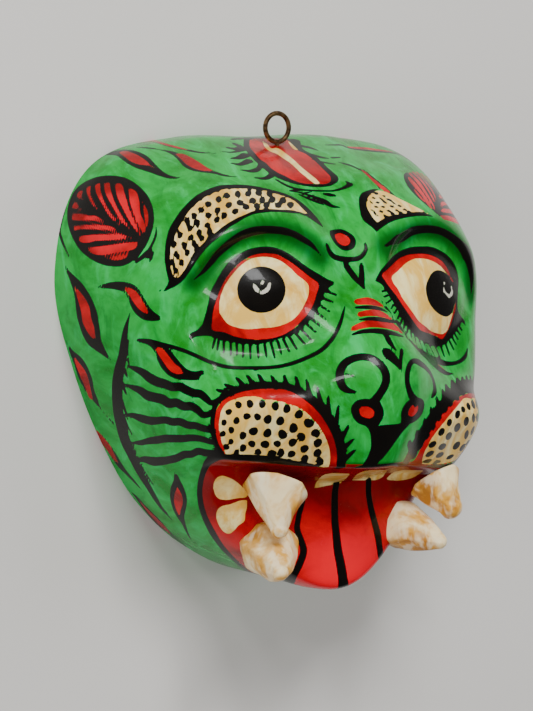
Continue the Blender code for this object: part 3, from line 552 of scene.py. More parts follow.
NOSE_RING_LEFT_RED_PX = (
    (358.8, 407.5), (362.5, 406.5), (369, 407.2), (373.5, 410.5), (374.3, 414.8), (371, 418.4),
    (366, 417.8), (361, 415.5),
)
NOSE_RING_RIGHT_PX = (
    (401, 418), (401.5, 411), (405, 404), (410, 399.5), (417, 397.6), (422, 398.8), (424.3, 403),
    (423.6, 410), (420, 417), (414, 422), (408, 424.5), (403, 424),
)
NOSE_RING_RIGHT_RED_PX = (
    (408.2, 413.5), (410, 408), (413.5, 404.3), (417.5, 403.8), (418.4, 407.5), (416.5, 412.5),
    (413, 416), (409.5, 416),
)
PHILTRUM_PX = (
    (361, 424), (366.5, 427), (369.8, 432), (371, 440), (370.6, 448), (368, 456), (363.5, 463.5),
    (361.3, 466.5), (372, 466), (381, 460), (388, 452), (396, 441), (403, 431.5), (409.5, 424.5),
    (412, 421), (402, 418.5), (401, 422.5), (394.5, 424), (385, 424.8), (377.5, 426), (378, 421),
)

# Whisker pads, photograph pixels
PAD_RED_PX = (
    (214.4, 425), (215, 417.5), (216.9, 410), (220.6, 403.8), (226.3, 398.1), (232.5, 394.4),
    (242.5, 391.3), (252.5, 390), (262.5, 388.8), (270, 388.1), (277.5, 388.8), (287.5, 390),
    (296.3, 393.8), (305, 400), (313.8, 406.3), (321.3, 415), (327.5, 423.8), (332.5, 433.8),
    (335.6, 443.8), (337.5, 453.8), (336.9, 462.5), (335.6, 467.5), (327.5, 468), (315, 466),
    (302.5, 464), (290, 462), (277.5, 460), (265, 458), (252.5, 457), (240, 456.5), (227.5, 456),
    (223.8, 453.1), (219.4, 446.3), (216.3, 436.3),
)
PAD_CREAM_PX = (
    (219.1, 425), (220, 417.5), (221.3, 411.3), (225, 405), (230, 401.3), (238.8, 398.1),
    (250, 396.3), (260, 397.5), (265, 399.4), (272.5, 400), (282.5, 401.9), (291.3, 405),
    (300, 408.1), (307.5, 413.8), (315, 421.3), (321.3, 430), (326.3, 440), (329.4, 450),
    (330, 458.8), (328.8, 465.6), (327, 468), (315, 466), (302.5, 464), (290, 462), (277.5, 460),
    (265, 458), (252.5, 457), (240, 456.5), (227.5, 456), (223.8, 447.5), (220.6, 437.5),
    (219.4, 431.3),
)
PAD_DOTS_PX = (
    (228.8, 411.9, 3), (224, 422.5, 2.8), (222.8, 433.8, 2.8), (226.3, 446.9, 2.8), (231.3, 430, 3),
    (236.5, 420.6, 3.2), (238.4, 404.8, 3.3), (250, 403.8, 3.5), (262.3, 404, 3.5),
    (246.9, 416.3, 3.3), (257.5, 416.9, 3.3), (231, 441.6, 2.6), (242.9, 435.6, 3.5),
    (253.5, 431.3, 4), (267.8, 419.4, 4), (275.3, 406.3, 3.8), (286.9, 408.8, 3.8),
    (298.8, 414.4, 4), (280.3, 421, 4), (267.5, 433.1, 4), (251.9, 443.8, 3.3), (243, 447.9, 3.3),
    (236.5, 452.3, 2.6), (258.1, 451.9, 3), (265, 444.4, 3.8), (271.9, 453.6, 3.8),
    (282.5, 434.4, 4.3), (293.5, 428.1, 4.3), (308.8, 423.1, 4.5), (315.6, 433.1, 4),
    (301.3, 436.9, 4), (292.5, 442.5, 3.8), (277.3, 443.8, 3.3), (281, 452.5, 3.5),
    (291.5, 454, 3.5), (304.4, 448.8, 3.8), (317.8, 442.9, 4), (317.5, 452.9, 3.8),
    (304.8, 458.5, 3.5), (319.8, 461.6, 3.8),
)
PAD_DOT_SCALE = 1.12
PAD_MIDDLE_PX = (262, 428)
PAD_BAND_PX = (
    (218.8, 400), (227.5, 394.2), (240, 389.2), (252.5, 386.5), (265, 385.2), (277.5, 385.4),
    (290, 387.4), (300, 392), (310, 398.4), (320, 407), (329, 418.5), (335.4, 430), (339.8, 442.5),
    (341.6, 455), (340.8, 466.3),
)
PAD_BAND_HALF_PX = (3, 3, 3.2, 3.4, 3.6, 3.6, 3.6, 4, 4.4, 4.8, 5, 5, 4.8, 4.6, 4.4)
PAD_OUTER_BAND_PX = (
    (218.8, 400), (215, 406.3), (213.1, 415), (212.3, 425), (213.8, 436.3), (216.9, 446.3),
    (221.3, 453.8),
)
PAD_OUTER_BAND_HALF_PX = (2.5, 2.5, 2.3, 2.3, 2.5, 2.5, 2.8)
PAD_SPIKES_PX = (
    ((231.3, 393.1), (217.8, 390.3)), ((237.5, 390), (226, 385)), ((245, 387.5), (237.3, 378.5)),
    ((255, 386.9), (247.8, 376.3)), ((265, 386.3), (258.8, 375)), ((276.3, 386.9), (271.9, 376.3)),
    ((287.5, 388.1), (284.4, 376.3)), ((300, 392.5), (296, 377.3)), ((310, 397.5), (306.9, 381)),
    ((321.3, 405), (317.5, 388.8)), ((328.8, 415), (328.1, 397.5)), ((335.6, 427.5), (338.1, 407.5)),
    ((340.6, 440), (348.1, 426.9)), ((341.9, 450), (352.5, 440)), ((343.8, 460), (354.4, 450.6)),
)
PAD_SPIKE_ROOT_PX = 2.9
PAD_SPIKE_TIP_PX = 1.5

RIGHT_PAD_RED_PX = (
    (411.3, 463.8), (416.3, 457.5), (420, 450), (421.9, 443.8), (425, 436.3), (430, 428.8),
    (436.3, 421.3), (441.3, 415), (447.5, 407.5), (453.8, 401.9), (460, 396.9), (467.5, 393.8),
    (473.8, 392.8), (477, 394.5), (478, 410), (477.5, 424), (474.5, 434), (469.5, 444),
    (464.5, 452), (459.5, 457.5), (452, 462), (440, 465), (425, 466.3),
)
RIGHT_PAD_CREAM_PX = (
    (421.9, 463.8), (422.5, 458.8), (425, 451.3), (428.1, 445), (432.5, 437.5), (438.8, 428.8),
    (445, 421.3), (450, 415), (455, 409.4), (460, 403.1), (465, 398.1), (470, 398.5), (475, 398.1),
    (477.5, 400), (478, 405), (478, 413.8), (477, 425), (474, 435), (469, 445), (464, 452.5),
    (459, 457.5), (453.8, 460.6), (445, 463), (432.5, 464.4),
)
RIGHT_PAD_DOTS_PX = (
    (457.5, 414.4, 4.4, 2.6, 80), (449.4, 422.5, 4, 2.6, 75), (441.5, 431.9, 4.4, 3, 60),
    (457.3, 427.5, 4.9, 2.9, 65), (448.8, 436, 4.4, 2.8, 60), (466.3, 421.3, 4.9, 2.6, 80),
    (463.1, 409.4, 3.5, 2.1, 110), (468.5, 406.3, 4.2, 2, 110), (473.1, 404.4, 4.8, 1.8, 108),
    (476.5, 404.4, 5, 0.9, 100), (473.5, 418.1, 5, 1.6, 90), (477, 417.5, 4.4, 0.9, 90),
    (466.5, 434.6, 4.9, 2, 75), (472.6, 430.6, 5, 1.4, 70), (432.5, 444.4, 4.6, 2.8, 35),
    (442.3, 446.6, 4.5, 2.8, 35), (456.5, 445.6, 5, 2.8, 50), (462.5, 447.5, 4.5, 2, 55),
    (468, 442.5, 3, 1.2, 60), (429.8, 453.8, 5, 2.4, 30), (439.8, 455, 4.6, 2.3, 30),
    (450, 456.9, 4.4, 1.8, 28), (427.5, 461, 5, 1.8, 12), (437, 461.8, 4, 1.6, 10),
)
RIGHT_BAND_PX = (
    (407, 460), (413, 450), (418, 441), (423, 432.5), (428.5, 424), (435, 415), (441.5, 407),
    (448, 400), (455, 393.5), (462, 389), (469, 387), (475, 387), (477, 388.5),
)
RIGHT_BAND_HALF_PX = (4.5, 5, 5, 5, 5, 5, 5, 5, 4.6, 4.2, 3.6, 3, 2.5)
RIGHT_SPIKES_PX = (
    ((414, 456), (409, 443)), ((420, 447), (416.5, 433)), ((427, 436), (424.3, 421)),
    ((433, 427), (431, 409.5)), ((439, 417), (437.3, 400.3)), ((445, 408), (443.5, 392)),
    ((449.5, 402), (447, 386.5)), ((455, 396), (453, 382)), ((460, 391.5), (458.3, 380.3)),
    ((465, 389), (463.2, 379.5)), ((469, 388), (467, 378.6)), ((472.5, 387.5), (470.6, 378.8)),
    ((475.5, 388), (473.5, 380)),
)

# Whiskers and the curved band behind them, photograph pixels
WHISKERS_PX = (
    (((128.1, 366.3), (135, 368.8), (142.5, 372.5), (150, 378.1), (157.5, 381.9), (165, 384),
      (172.5, 386.9), (180, 386.9), (186.3, 390), (193.8, 393.1), (200, 393.8), (206.3, 398.8),
      (211.3, 402.8), (218, 400)),
     (0.8, 2.5, 3.8, 4.6, 4.8, 4.6, 4.4, 4.4, 4.4, 4.2, 4, 3.6, 2.6, 2.4)),
    (((125.6, 384.8), (132.5, 387.5), (140, 390.6), (147.5, 395.6), (155, 397.5), (162.5, 399.4),
      (168.8, 403.1), (176.3, 402.8), (183.8, 406.3), (191.3, 406.3), (197.5, 410), (203.8, 415),
      (212, 413)),
     (0.8, 2.3, 3.5, 4.4, 4.7, 4.7, 4.7, 4.4, 4.3, 4.3, 3.8, 3.3, 2.6)),
    (((125, 414.8), (132.5, 415.6), (140, 418.1), (150, 420.6), (157.5, 420.6), (165, 420),
      (172.5, 421.9), (180, 421.9), (187.5, 425), (195, 425.6), (202.5, 428.1), (212, 430)),
     (0.6, 2.3, 3.3, 3.8, 3.5, 3.5, 3.8, 3.8, 3.8, 3.5, 3.5, 3.2)),
    (((132.9, 442.9), (140, 442.9), (148.6, 441.1), (157.1, 440), (165.7, 438.6), (174.3, 438.6),
      (182.9, 438.6), (191.4, 437.9), (200, 438.6), (208.6, 441.1), (214, 442.5)),
     (0.8, 2.3, 3.1, 3.6, 3.6, 3.6, 3.6, 3.4, 3.1, 2.9, 2.5)),
    (((137.1, 459.3), (145.7, 460), (152.9, 461.4), (160, 461.1), (168.6, 460), (177.1, 457.9),
      (184.3, 454.6), (191.4, 454), (198.6, 451.4), (205.7, 452.9), (216, 452.9)),
     (0.8, 2.8, 3.7, 3.7, 3.4, 3.7, 3.7, 3.4, 3.4, 3.7, 3)),
)
SICKLE_PX = (
    (130, 313), (125.6, 330), (123.8, 345), (122.5, 357), (119.4, 370), (117.5, 382), (117.2, 392),
    (117.3, 402), (118.5, 414), (120.8, 426), (123.5, 438), (126.4, 446), (133.4, 459.5),
    (140, 472.9), (148.6, 487.1), (157.1, 501.4), (162.9, 510), (171.4, 519.3),
)
SICKLE_HALF_PX = (
    0.2, 2.5, 3.6, 4.2, 4.8, 4.9, 4.9, 4.6, 4.5, 4.3, 3.7, 3.5, 3.5, 3, 2.6, 2, 1.2, 0.3,
)
SICKLE_HAIRS_PX = (
    ((128.2, 340), (127.6, 352), (129.2, 364)), ((125, 368.8), (126.9, 375), (128.5, 378.8)),
    ((123.1, 382.5), (125, 390), (128.1, 397.5)), ((122.3, 400), (125.3, 410), (128.8, 418.5)),
    ((124.5, 417.5), (128.3, 427.5), (132.1, 434.4)), ((126.5, 432), (131.4, 444.5), (137.1, 452.6)),
    ((131.5, 448), (137.1, 459), (142.9, 467.9)), ((139, 463), (145.7, 473.5), (152.9, 484.3)),
    ((146, 478), (151, 489), (158.6, 500)), ((152, 491), (158.5, 503), (167, 513)),
)

# Mouth, photograph pixels
LIP_PX = (
    (210, 460.5), (216, 457.8), (225, 457), (235, 457.5), (250, 457.9), (270, 459.8), (290, 462.8),
    (310, 466), (330, 468.1), (350, 468.1), (370, 467),
)
LIP_HALF_PX = (2.8, 3, 3, 3.4, 3.6, 4, 3.6, 3, 1.8, 1.5, 1.4)
LIP_RIGHT_PX = (
    (362, 467.2), (378, 465.6), (395, 464.5), (411, 466), (420, 466.8), (432.5, 466.6), (445, 465.8),
    (453.8, 463.9), (460, 460.8), (465, 456.3), (469.5, 450), (472, 444),
)
LIP_RIGHT_HALF_PX = (1.4, 1.4, 1.4, 1.8, 2, 2, 2.2, 2.4, 2.6, 2.4, 1.8, 0.8)
MOUTH_EDGE_PX = (
    (213, 459.5), (208, 463), (204, 470), (201, 480), (199.7, 490), (200.5, 502), (204, 515),
    (210, 528), (217, 540), (226, 551.5), (236, 561.5), (246, 570), (257, 577), (269, 583.5),
    (281, 589.5), (292, 594), (302, 596.5),
)
MOUTH_EDGE_HALF_PX = (
    3.2, 3.1, 2.9, 2.7, 2.6, 2.6, 2.5, 2.5, 2.4, 2.4, 2.2, 2.2, 2.2, 2.2, 2.2, 2, 1.6,
)
TONGUE_LINES_PX = (
    (((304.5, 493), (302.5, 503), (299, 515), (297.9, 521), (297.1, 528.6), (301.4, 541.4),
      (303.6, 550), (300.7, 561.4), (295, 572.9), (289.3, 581.4), (285, 588.5)),
     (2, 2.4, 2.6, 2.8, 3, 3.3, 3.5, 3.5, 3.5, 3.6, 3.4)),
    (((336.4, 483.6), (335, 492.9), (334.7, 507.1), (335, 521.4), (336.4, 535.7), (337.9, 550),
      (340.7, 564.3), (342.9, 578.6), (343.8, 595.5)), (3, 3.2, 3.5, 3.6, 3.8, 4.2, 4.4, 4.6, 4.8)),
    (((368.6, 480.7), (368.6, 492.9), (370.7, 507.1), (374.3, 521.4), (377.9, 535.7), (380, 550),
      (381.4, 560)), (2.8, 2.8, 3, 3, 3.2, 2.8, 2.4)),
)
SIDE_TEETH_PX = (
    ((216.4, 478.6), (221.4, 476), (229.3, 477.9), (236.4, 482.1), (242.1, 487.1), (247.9, 492.1),
     (247.6, 495.7), (237.9, 497.9), (223.6, 499.6), (217.9, 497.9), (214.3, 491.4), (213.6, 485.7)),
    ((222.1, 506.4), (230.7, 504.3), (240.7, 500.7), (247.1, 500.3), (246.4, 508.6), (245, 514.3),
     (244.3, 520.7), (237.9, 525.7), (232.9, 531.4), (228.6, 533.6), (223.6, 531.4), (219.3, 525.7),
     (217.1, 520), (216.4, 514.3), (217.9, 510)),
)
FRONT_TEETH_PX = (
    ((314.3, 487.9), (317.9, 480.7), (323.6, 475), (332.1, 473.1), (345, 473.6), (350, 473.6),
     (345.7, 478.6), (339.3, 483.6), (329.3, 485), (320.7, 486.9)),
    ((352.1, 480.3), (356.4, 475), (363.6, 471.4), (375, 470), (387.1, 470.3), (383.6, 475.7),
     (377.9, 479.3), (366.4, 480)),
    ((385.7, 479.7), (392.1, 473.6), (399.3, 470.7), (412.1, 470.3), (423.6, 470.3), (417.9, 475),
     (409.3, 478.6), (399.3, 480.3)),
)

# Leaf under the ring and the strokes round it, photograph pixels
LEAF_PX = (
    (244, 137.5), (243.5, 145), (247, 152), (252, 158), (257, 163), (263, 168), (269, 173),
    (276, 177), (285, 181), (295, 184), (305, 186), (315, 187), (323, 187), (330, 186), (336, 183),
    (338.5, 180), (338, 177), (334, 173), (327, 167), (321, 161), (315, 156), (309, 152.5),
    (303, 149), (301, 145), (300, 141), (297, 139.5), (289, 138.6), (279, 138), (260, 137),
)
LEAF_RED_PX = (
    (249.5, 140), (250, 147), (255, 153), (260, 159), (266, 163), (271, 168), (277, 172), (285, 176),
    (293, 180), (302, 183), (311, 183.8), (320, 184), (327, 183.5), (330.5, 181), (330.5, 177),
    (326, 172), (321, 167), (316, 162), (310, 157), (304, 153), (299, 151), (294, 147), (289, 141),
    (285, 139.5), (265, 138.6), (255, 138.6),
)
LEAF_RIB_PX = (
    (262.5, 141), (267, 144), (271, 148.5), (277, 148), (283, 151.5), (289, 156), (295, 161),
    (300, 166), (306, 171), (311, 175), (316, 179), (320, 183.5), (316, 184), (311, 181), (305, 176),
    (300, 172), (295, 167), (289, 162), (283, 158), (277, 154), (271, 151.5), (267, 149), (264, 145),
)
LEAF_RIB_SIDE_PX = ((288, 141), (293, 145), (298, 150), (295, 149.6), (291, 146))
LEAF_TICKS_PX = (
    (((232.2, 139.4), (242, 138.3)), (1.0, 1.3)),
    (((235, 143.9), (239.4, 146.1)), (1.4, 1.8)),
    (((228.3, 147.8), (235.6, 148.9), (242, 147.8)), (1.0, 1.6, 2.0)),
    (((222.8, 151.7), (232.2, 152.2), (243.3, 150)), (0.4, 0.8, 1.3)),
    (((232.2, 158.3), (238.9, 157.8), (245.6, 155)), (0.6, 1.8, 2.3)),
    (((232.2, 163.3), (240, 164.4), (248.9, 161)), (0.5, 1.4, 2.2)),
    (((241.7, 170), (252.2, 171), (258.9, 168.3), (260, 165)), (0.5, 1.6, 2.2, 2.4)),
    (((255.6, 177.8), (265.6, 178.3), (272.2, 175)), (0.5, 1.6, 2.4)),
    (((302.2, 146), (310, 147.8), (316.7, 150)), (1.6, 1.6, 0.6)),
    (((301, 150.6), (310, 154), (321, 157.2), (327.8, 158.3)), (0.8, 1.1, 1.3, 0.5)),
    (((313.3, 159.4), (323.3, 162.2), (334.4, 164)), (0.6, 1.0, 0.5)),
    (((332.2, 157.8), (339.4, 157.4)), (0.8, 0.6)),
    (((276.7, 180), (285.6, 185), (294.4, 188.3), (305.6, 190), (321, 190.8), (332.2, 190.8),
      (341, 188.9), (347.8, 186), (351, 184.4), (347.2, 182.2)),
     (0.8, 1.1, 1.0, 0.8, 0.8, 0.8, 1.2, 1.8, 1.9, 0.8)),
    (((324.4, 194), (329.4, 194.7), (334.4, 195.4)), (0.9, 2.0, 0.9)),
    (((290, 191), (298.9, 192.2), (310, 195.6), (318.9, 198.9), (325.6, 202.2), (332.2, 206),
      (340, 207.4)), (0.4, 0.7, 1, 1.6, 2.6, 1.6, 0.4)),
    (((298.9, 194.4), (307.8, 198.3), (316.7, 201.7), (323.3, 204.4)), (0.6, 1.1, 1.3, 0.5)),
)
TOP_STREAK_PX = (
    (140, 138.9), (152.9, 140.7), (164.3, 144.3), (175.7, 147.4), (187.1, 150), (200, 152.4),
    (217.1, 153.3),
)
TOP_STREAK_HALF_PX = (0.8, 1.6, 1.8, 1.6, 1.2, 0.8, 0.3)
TOP_STREAK_RED_PX = ((141, 138.6), (152.9, 140.4), (164.3, 143.9), (175.7, 147), (187.1, 149.8))
TOP_STREAK_RED_HALF_PX = (0.6, 1.1, 1.1, 0.9, 0.4)
RIGHT_STREAK_PX = (
    (326, 145), (334.4, 145), (341, 145), (346.7, 147.2), (354.4, 148.9), (365.6, 150.3),
    (376.7, 151.4), (387.8, 152.2), (398.9, 154.1), (405.6, 156.7), (413.3, 159.4), (418.9, 163.3),
)
RIGHT_STREAK_HALF_PX = (0.5, 0.9, 1, 1.2, 1.2, 1.1, 1.1, 1, 1, 0.9, 0.7, 0.4)
RIGHT_STREAK_RED_PX = (
    (348.9, 147.2), (356.7, 147.8), (365.6, 148.3), (374.4, 149.4), (383.3, 150.6), (392, 151.7),
)
RIGHT_STREAK_RED_HALF_PX = (0.6, 1.1, 1.2, 1.1, 0.8, 0.4)
LEFT_EDGE_LINE_PX = (
    (63, 202), (60.5, 212), (58.8, 222), (59.5, 232), (62.9, 242.9), (68.6, 256),
)
LEFT_EDGE_LINE_HALF_PX = (0.4, 0.9, 1.1, 1.2, 1.1, 0.6)
CHIN_HAIR_PX = ((207, 552.1), (217, 559.3), (230.7, 569))


def smooth_step(share):
    """Ease a share from 0 to 1."""
    share = np.clip(share, 0.0, 1.0)
    return share * share * (3.0 - 2.0 * share)


def smooth_min(a, b, blend):
    """Lower of two heights with a rounded join."""
    return 0.5 * (a + b - np.sqrt((a - b) ** 2 + blend * blend))


def smooth_max(a, b, blend):
    """Higher of two heights with a rounded join."""
    return 0.5 * (a + b + np.sqrt((a - b) ** 2 + blend * blend))


def through_knots(knots, values, at):
    """Cubic curve through values at the knots, row by row."""
    knots = np.asarray(knots, float)
    values = np.asarray(values, float)
    tail = (1,) * (values.ndim - 1)
    slope = np.diff(values, axis=0) / np.diff(knots).reshape((-1,) + tail)
    tangent = np.concatenate((slope[:1], (slope[1:] + slope[:-1]) / 2.0, slope[-1:]))
    index = np.clip(np.searchsorted(knots, at, side="right") - 1, 0, len(knots) - 2)
    width = knots[index + 1] - knots[index]
    s = ((at - knots[index]) / width).reshape(at.shape + tail)
    width = width.reshape(at.shape + tail)
    return (
        (2 * s ** 3 - 3 * s ** 2 + 1) * values[index]
        + (s ** 3 - 2 * s ** 2 + s) * width * tangent[index]
        + (3 * s ** 2 - 2 * s ** 3) * values[index + 1]
        + (s ** 3 - s ** 2) * width * tangent[index + 1]
    )


def round_both_ends(degrees, values):
    """Repeat a table past the crown and the chin so that it meets its mirror image smoothly."""
    angles = np.radians(degrees)
    angles = np.concatenate((-angles[1:2], angles, 2 * math.pi - angles[-2:-1]))
    return angles, np.concatenate((values[1:2], values, values[-2:-1]))


def along_section(table, step):
    """Smooth value along each section between its steps."""
    low = np.clip(np.floor(step).astype(int), 0, SECTION_STEPS - 1)
    part = step - low
    first = 2 * table[..., :1] - table[..., 1:2]
    last = np.where(table[..., -1:] == 0.0, -table[..., -2:-1], table[..., -2:-1])
    table = np.concatenate((first, table, last), axis=-1)
    a, b, c, d = (np.take_along_axis(table, (low + k)[..., None], -1)[..., 0] for k in range(4))
    return 0.5 * (
        2 * b + (c - a) * part
        + (2 * a - 5 * b + 4 * c - d) * part ** 2
        + (3 * b - a - 3 * c + d) * part ** 3
    )


def lip_line(x: np.ndarray) -> np.ndarray:
    """Y of the upper lip, which rises to the left and hangs to the right."""
    return LIP_Y + np.where(x < 0, LIP_RISE_LEFT, -LIP_DROP_RIGHT) * (x / LIP_HALF_WIDTH) ** 2


class FaceForm:
    """Surface of the carved face by share of the radius and angle from the crown."""

    def carved(self, x, y, height, soft):
        """Muzzle, cheeks, pads, brows and eyes on top of the plain section height."""
        side = np.abs(x)
        reach = np.where(y > MUZZLE_Y, MUZZLE_REACH_UP, MUZZLE_REACH_DOWN)
        swell = 1 - (side / MUZZLE_HALF_WIDTH) ** 2 - ((y - MUZZLE_Y) / reach) ** 2
        height = height + MUZZLE_HEIGHT * np.clip(swell, 0, None) ** 2
        right = smooth_step(x / PAD_CENTRE[0])
        lowered = y + DROP_RIGHT * right
        cheek = ((side - CHEEK_CENTRE[0]) / CHEEK_SPREAD[0]) ** 2
        cheek = cheek + ((lowered - CHEEK_CENTRE[1]) / CHEEK_SPREAD[1]) ** 2
        height = height + CHEEK_HEIGHT * np.exp(-cheek)
        if soft:
            return height
        pad = ((side - PAD_CENTRE[0]) / PAD_SPREAD[0]) ** 2
        pad = pad + ((lowered - PAD_CENTRE[1]) / PAD_SPREAD[1]) ** 2
        height = height + (PAD_HEIGHT + PAD_EXTRA_RIGHT * right) * np.exp(-pad ** 2)
        height = height + self.brow_arch(side, y)
        eye = ((side - EYE_CENTRE[0]) / EYE_HALF[0]) ** 2 + ((y - EYE_CENTRE[1]) / EYE_HALF[1]) ** 2
        height = height + EYE_BULGE * np.clip(1 - eye, 0, None) ** 1.4
        return height - EYE_GROOVE * np.exp(-((np.sqrt(eye) - 1.1) / 0.22) ** 2)

    def brow_arch(self, side, y):
        """Ridge over the eye, steep towards the eye and gentle towards the forehead."""
        out = side - ARCH_CENTRE[0]
        up = y - ARCH_CENTRE[1]
        angle = np.degrees(np.arctan2(out, up))
        held = np.clip(angle, ARCH_ANGLES[0], ARCH_ANGLES[-1])
        away = np.hypot(out, up) - through_knots(ARCH_ANGLES, ARCH_RADII, held)
        outside = smooth_step(0.5 + 0.5 * away / ARCH_TURN)
        slope = ARCH_SLOPE_IN + (ARCH_SLOPE_OUT - ARCH_SLOPE_IN) * outside
        fade = smooth_step((angle - ARCH_FADE_IN[0]) / (ARCH_FADE_IN[1] - ARCH_FADE_IN[0]))
        fade = fade * smooth_step((ARCH_FADE_OUT[0] - angle) / (ARCH_FADE_OUT[0] - ARCH_FADE_OUT[1]))
        return ARCH_HEIGHT * fade * np.exp(-(away / slope) ** 2)

    def open_mouth(self, x, y, height, soft):
        """Cut the palate, mouth floor and tongue below the upper lip."""
        side = np.abs(x)
        lip = lip_line(x)
        corner = smooth_step((MOUTH_CORNER[1] - side) / (MOUTH_CORNER[1] - MOUTH_CORNER[0]))
        if soft:
            cut = height - HOLLOW_SLOPE * corner * np.clip(lip + HOLLOW_START - y, 0, None)
            return smooth_max(np.minimum(height, MOUTH_FLOOR), cut, JAW_BLEND) - JAW_BLEND / 2
        down = np.clip((TONGUE_ROOT_Y - y) / TONGUE_LENGTH, 0, 1)
        tongue = (TONGUE_HEIGHT + TONGUE_LIFT * down) * np.exp(-(side / TONGUE_HALF_WIDTH) ** 2)
        floor = MOUTH_FLOOR + tongue * smooth_step((TONGUE_ROOT_Y - y) / (0.3 * TONGUE_LENGTH))
        floor = smooth_min(height, floor, JAW_BLEND)
        cut = height - PALATE_SLOPE * corner * np.clip(lip - y, 0, None)
        return np.minimum(height, smooth_max(floor, cut, EDGE_BLEND))

    def point(self, rho, theta, soft=False):
        """Point of the front surface, rho 1 at the rim and 0 at the centre, theta from the crown."""
        turn = np.abs(theta)
        radius = through_knots(*round_both_ends(OUTLINE_ANGLES, OUTLINE_RADII), turn)
        shares = through_knots(*round_both_ends(SECTION_ANGLES, SECTION_SHARES), turn)
        heights = through_knots(*round_both_ends(SECTION_ANGLES, SECTION_HEIGHTS), turn)
        step = (1 - rho) * SECTION_STEPS
        radius = radius * along_section(shares, step)
        plain = along_section(heights, step)
        x = radius * np.sin(theta)
        y = radius * np.cos(theta)
        front = smooth_step((1 - rho) / WALL_BAND)
        z = plain + front * (self.carved(x, y, plain, soft) - plain)
        z = z + smooth_step((1 - rho) / (0.5 * WALL_BAND)) * (self.open_mouth(x, y, z, soft) - z)
        return np.stack((x, y, np.where(rho > 0.9999, 0.0, z)), axis=-1)

    def normal(self, rho, theta, soft=False):
        """Outward unit normal of the front surface."""
        small = 0.05 if soft else 0.004
        rho = np.clip(rho, small, 1 - small)
        down = self.point(rho + small, theta, soft) - self.point(rho - small, theta, soft)
        round_ = self.point(rho, theta + small, soft) - self.point(rho, theta - small, soft)
        normal = np.cross(round_, down)
        return normal / np.linalg.norm(normal, axis=-1, keepdims=True)

    def inside(self, rho, theta):
        """Inside of the hollow, one wall behind the softened front."""
        wall = WALL + CROWN_EXTRA * np.clip(np.cos(theta), 0, 1) ** 8
        points = self.point(rho, theta, True) - wall[:, None] * self.normal(rho, theta, True)
        points[:, 2] = np.where(rho > 0.9999, 0.0, np.clip(points[:, 2], HOLLOW_FOOT, None))
        return points

    def crown_y(self):
        """Y of the front surface at the middle of the crown at the height of the ring."""
        rho = np.linspace(1.0, 0.5, 400)
        line = self.point(rho, np.zeros(400))
        return float(np.interp(RING_HEIGHT, line[:, 2], line[:, 1]))


@dataclass
class FaceGrid:
    """Square grid laid over the face, with rows along the lip and the palate foot."""

    form: FaceForm
    count: int
    palate_strips: int

    def to_disc(self, u, v):
        """Rho and theta of a place in the square from -1 to 1."""
        across = u * np.sqrt(1 - v * v / 2)
        along = v * np.sqrt(1 - u * u / 2)
        return np.clip(np.hypot(across, along), 0, 1), np.arctan2(across, along)

    def row_below_lip(self, u, depth):
        """Square row that runs at a depth below the upper lip, found by halving."""
        low = np.full(u.shape, -0.9)
        high = np.full(u.shape, 0.3)
        for _ in range(30):
            middle = (low + high) / 2
            point = self.form.point(*self.to_disc(u, middle))
            above = point[..., 1] > lip_line(point[..., 0]) - depth
            high = np.where(above, middle, high)
            low = np.where(above, low, middle)
        return (low + high) / 2

    def places(self, plan):
        """Rho and theta of the grid corners."""
        u = plan[:, 0] * (GRID_EVENNESS + (1 - GRID_EVENNESS) * plan[:, 0] ** 2)
        row = np.rint((plan[:, 1] + 1) / 2 * self.count)
        foot_row = round(JAW_STRIPS_SHARE * self.count)
        lip_row = foot_row + self.palate_strips
        columns, column = np.unique(np.round(u, 6), return_inverse=True)
        lip = self.row_below_lip(columns, 0.0)[column]
        foot = self.row_below_lip(columns, PALATE_DEPTH)[column]
        jaw = row / foot_row
        jaw = -1 + (foot + 1) * jaw * (1 + 0.3 * (1 - jaw))
        palate = foot + (lip - foot) * (row - foot_row) / self.palate_strips
        brow = (row - lip_row) / (self.count - lip_row)
        brow = lip + (1 - lip) * brow * (0.82 + 0.18 * brow)
        v = np.where(row < foot_row, jaw, np.where(row < lip_row, palate, brow))
        return self.to_disc(u, np.clip(v, -1, 1))

    def build(self, surface):
        """Make the grid on a surface.

        Args:
            surface: function that gives points for rho and theta.

        Returns:
            The bmesh and the disc place of every corner.
        """
        mesh = bmesh.new()
        bmesh.ops.create_grid(mesh, x_segments=self.count, y_segments=self.count, size=1.0)
        plan = np.array([corner.co[:2] for corner in mesh.verts])
        edge = np.max(np.abs(plan), axis=1) > 1 - 1e-6
        rho, theta = self.places(plan)
        rho = np.where(edge, 1.0, rho)
        points = surface(rho, theta)
        points[:, 1] -= MIDDLE_ABOVE_CENTRE
        for corner, point in zip(mesh.verts, points):
            corner.co = point
        return mesh, np.stack((rho * np.sin(theta), rho * np.cos(theta)), axis=-1)


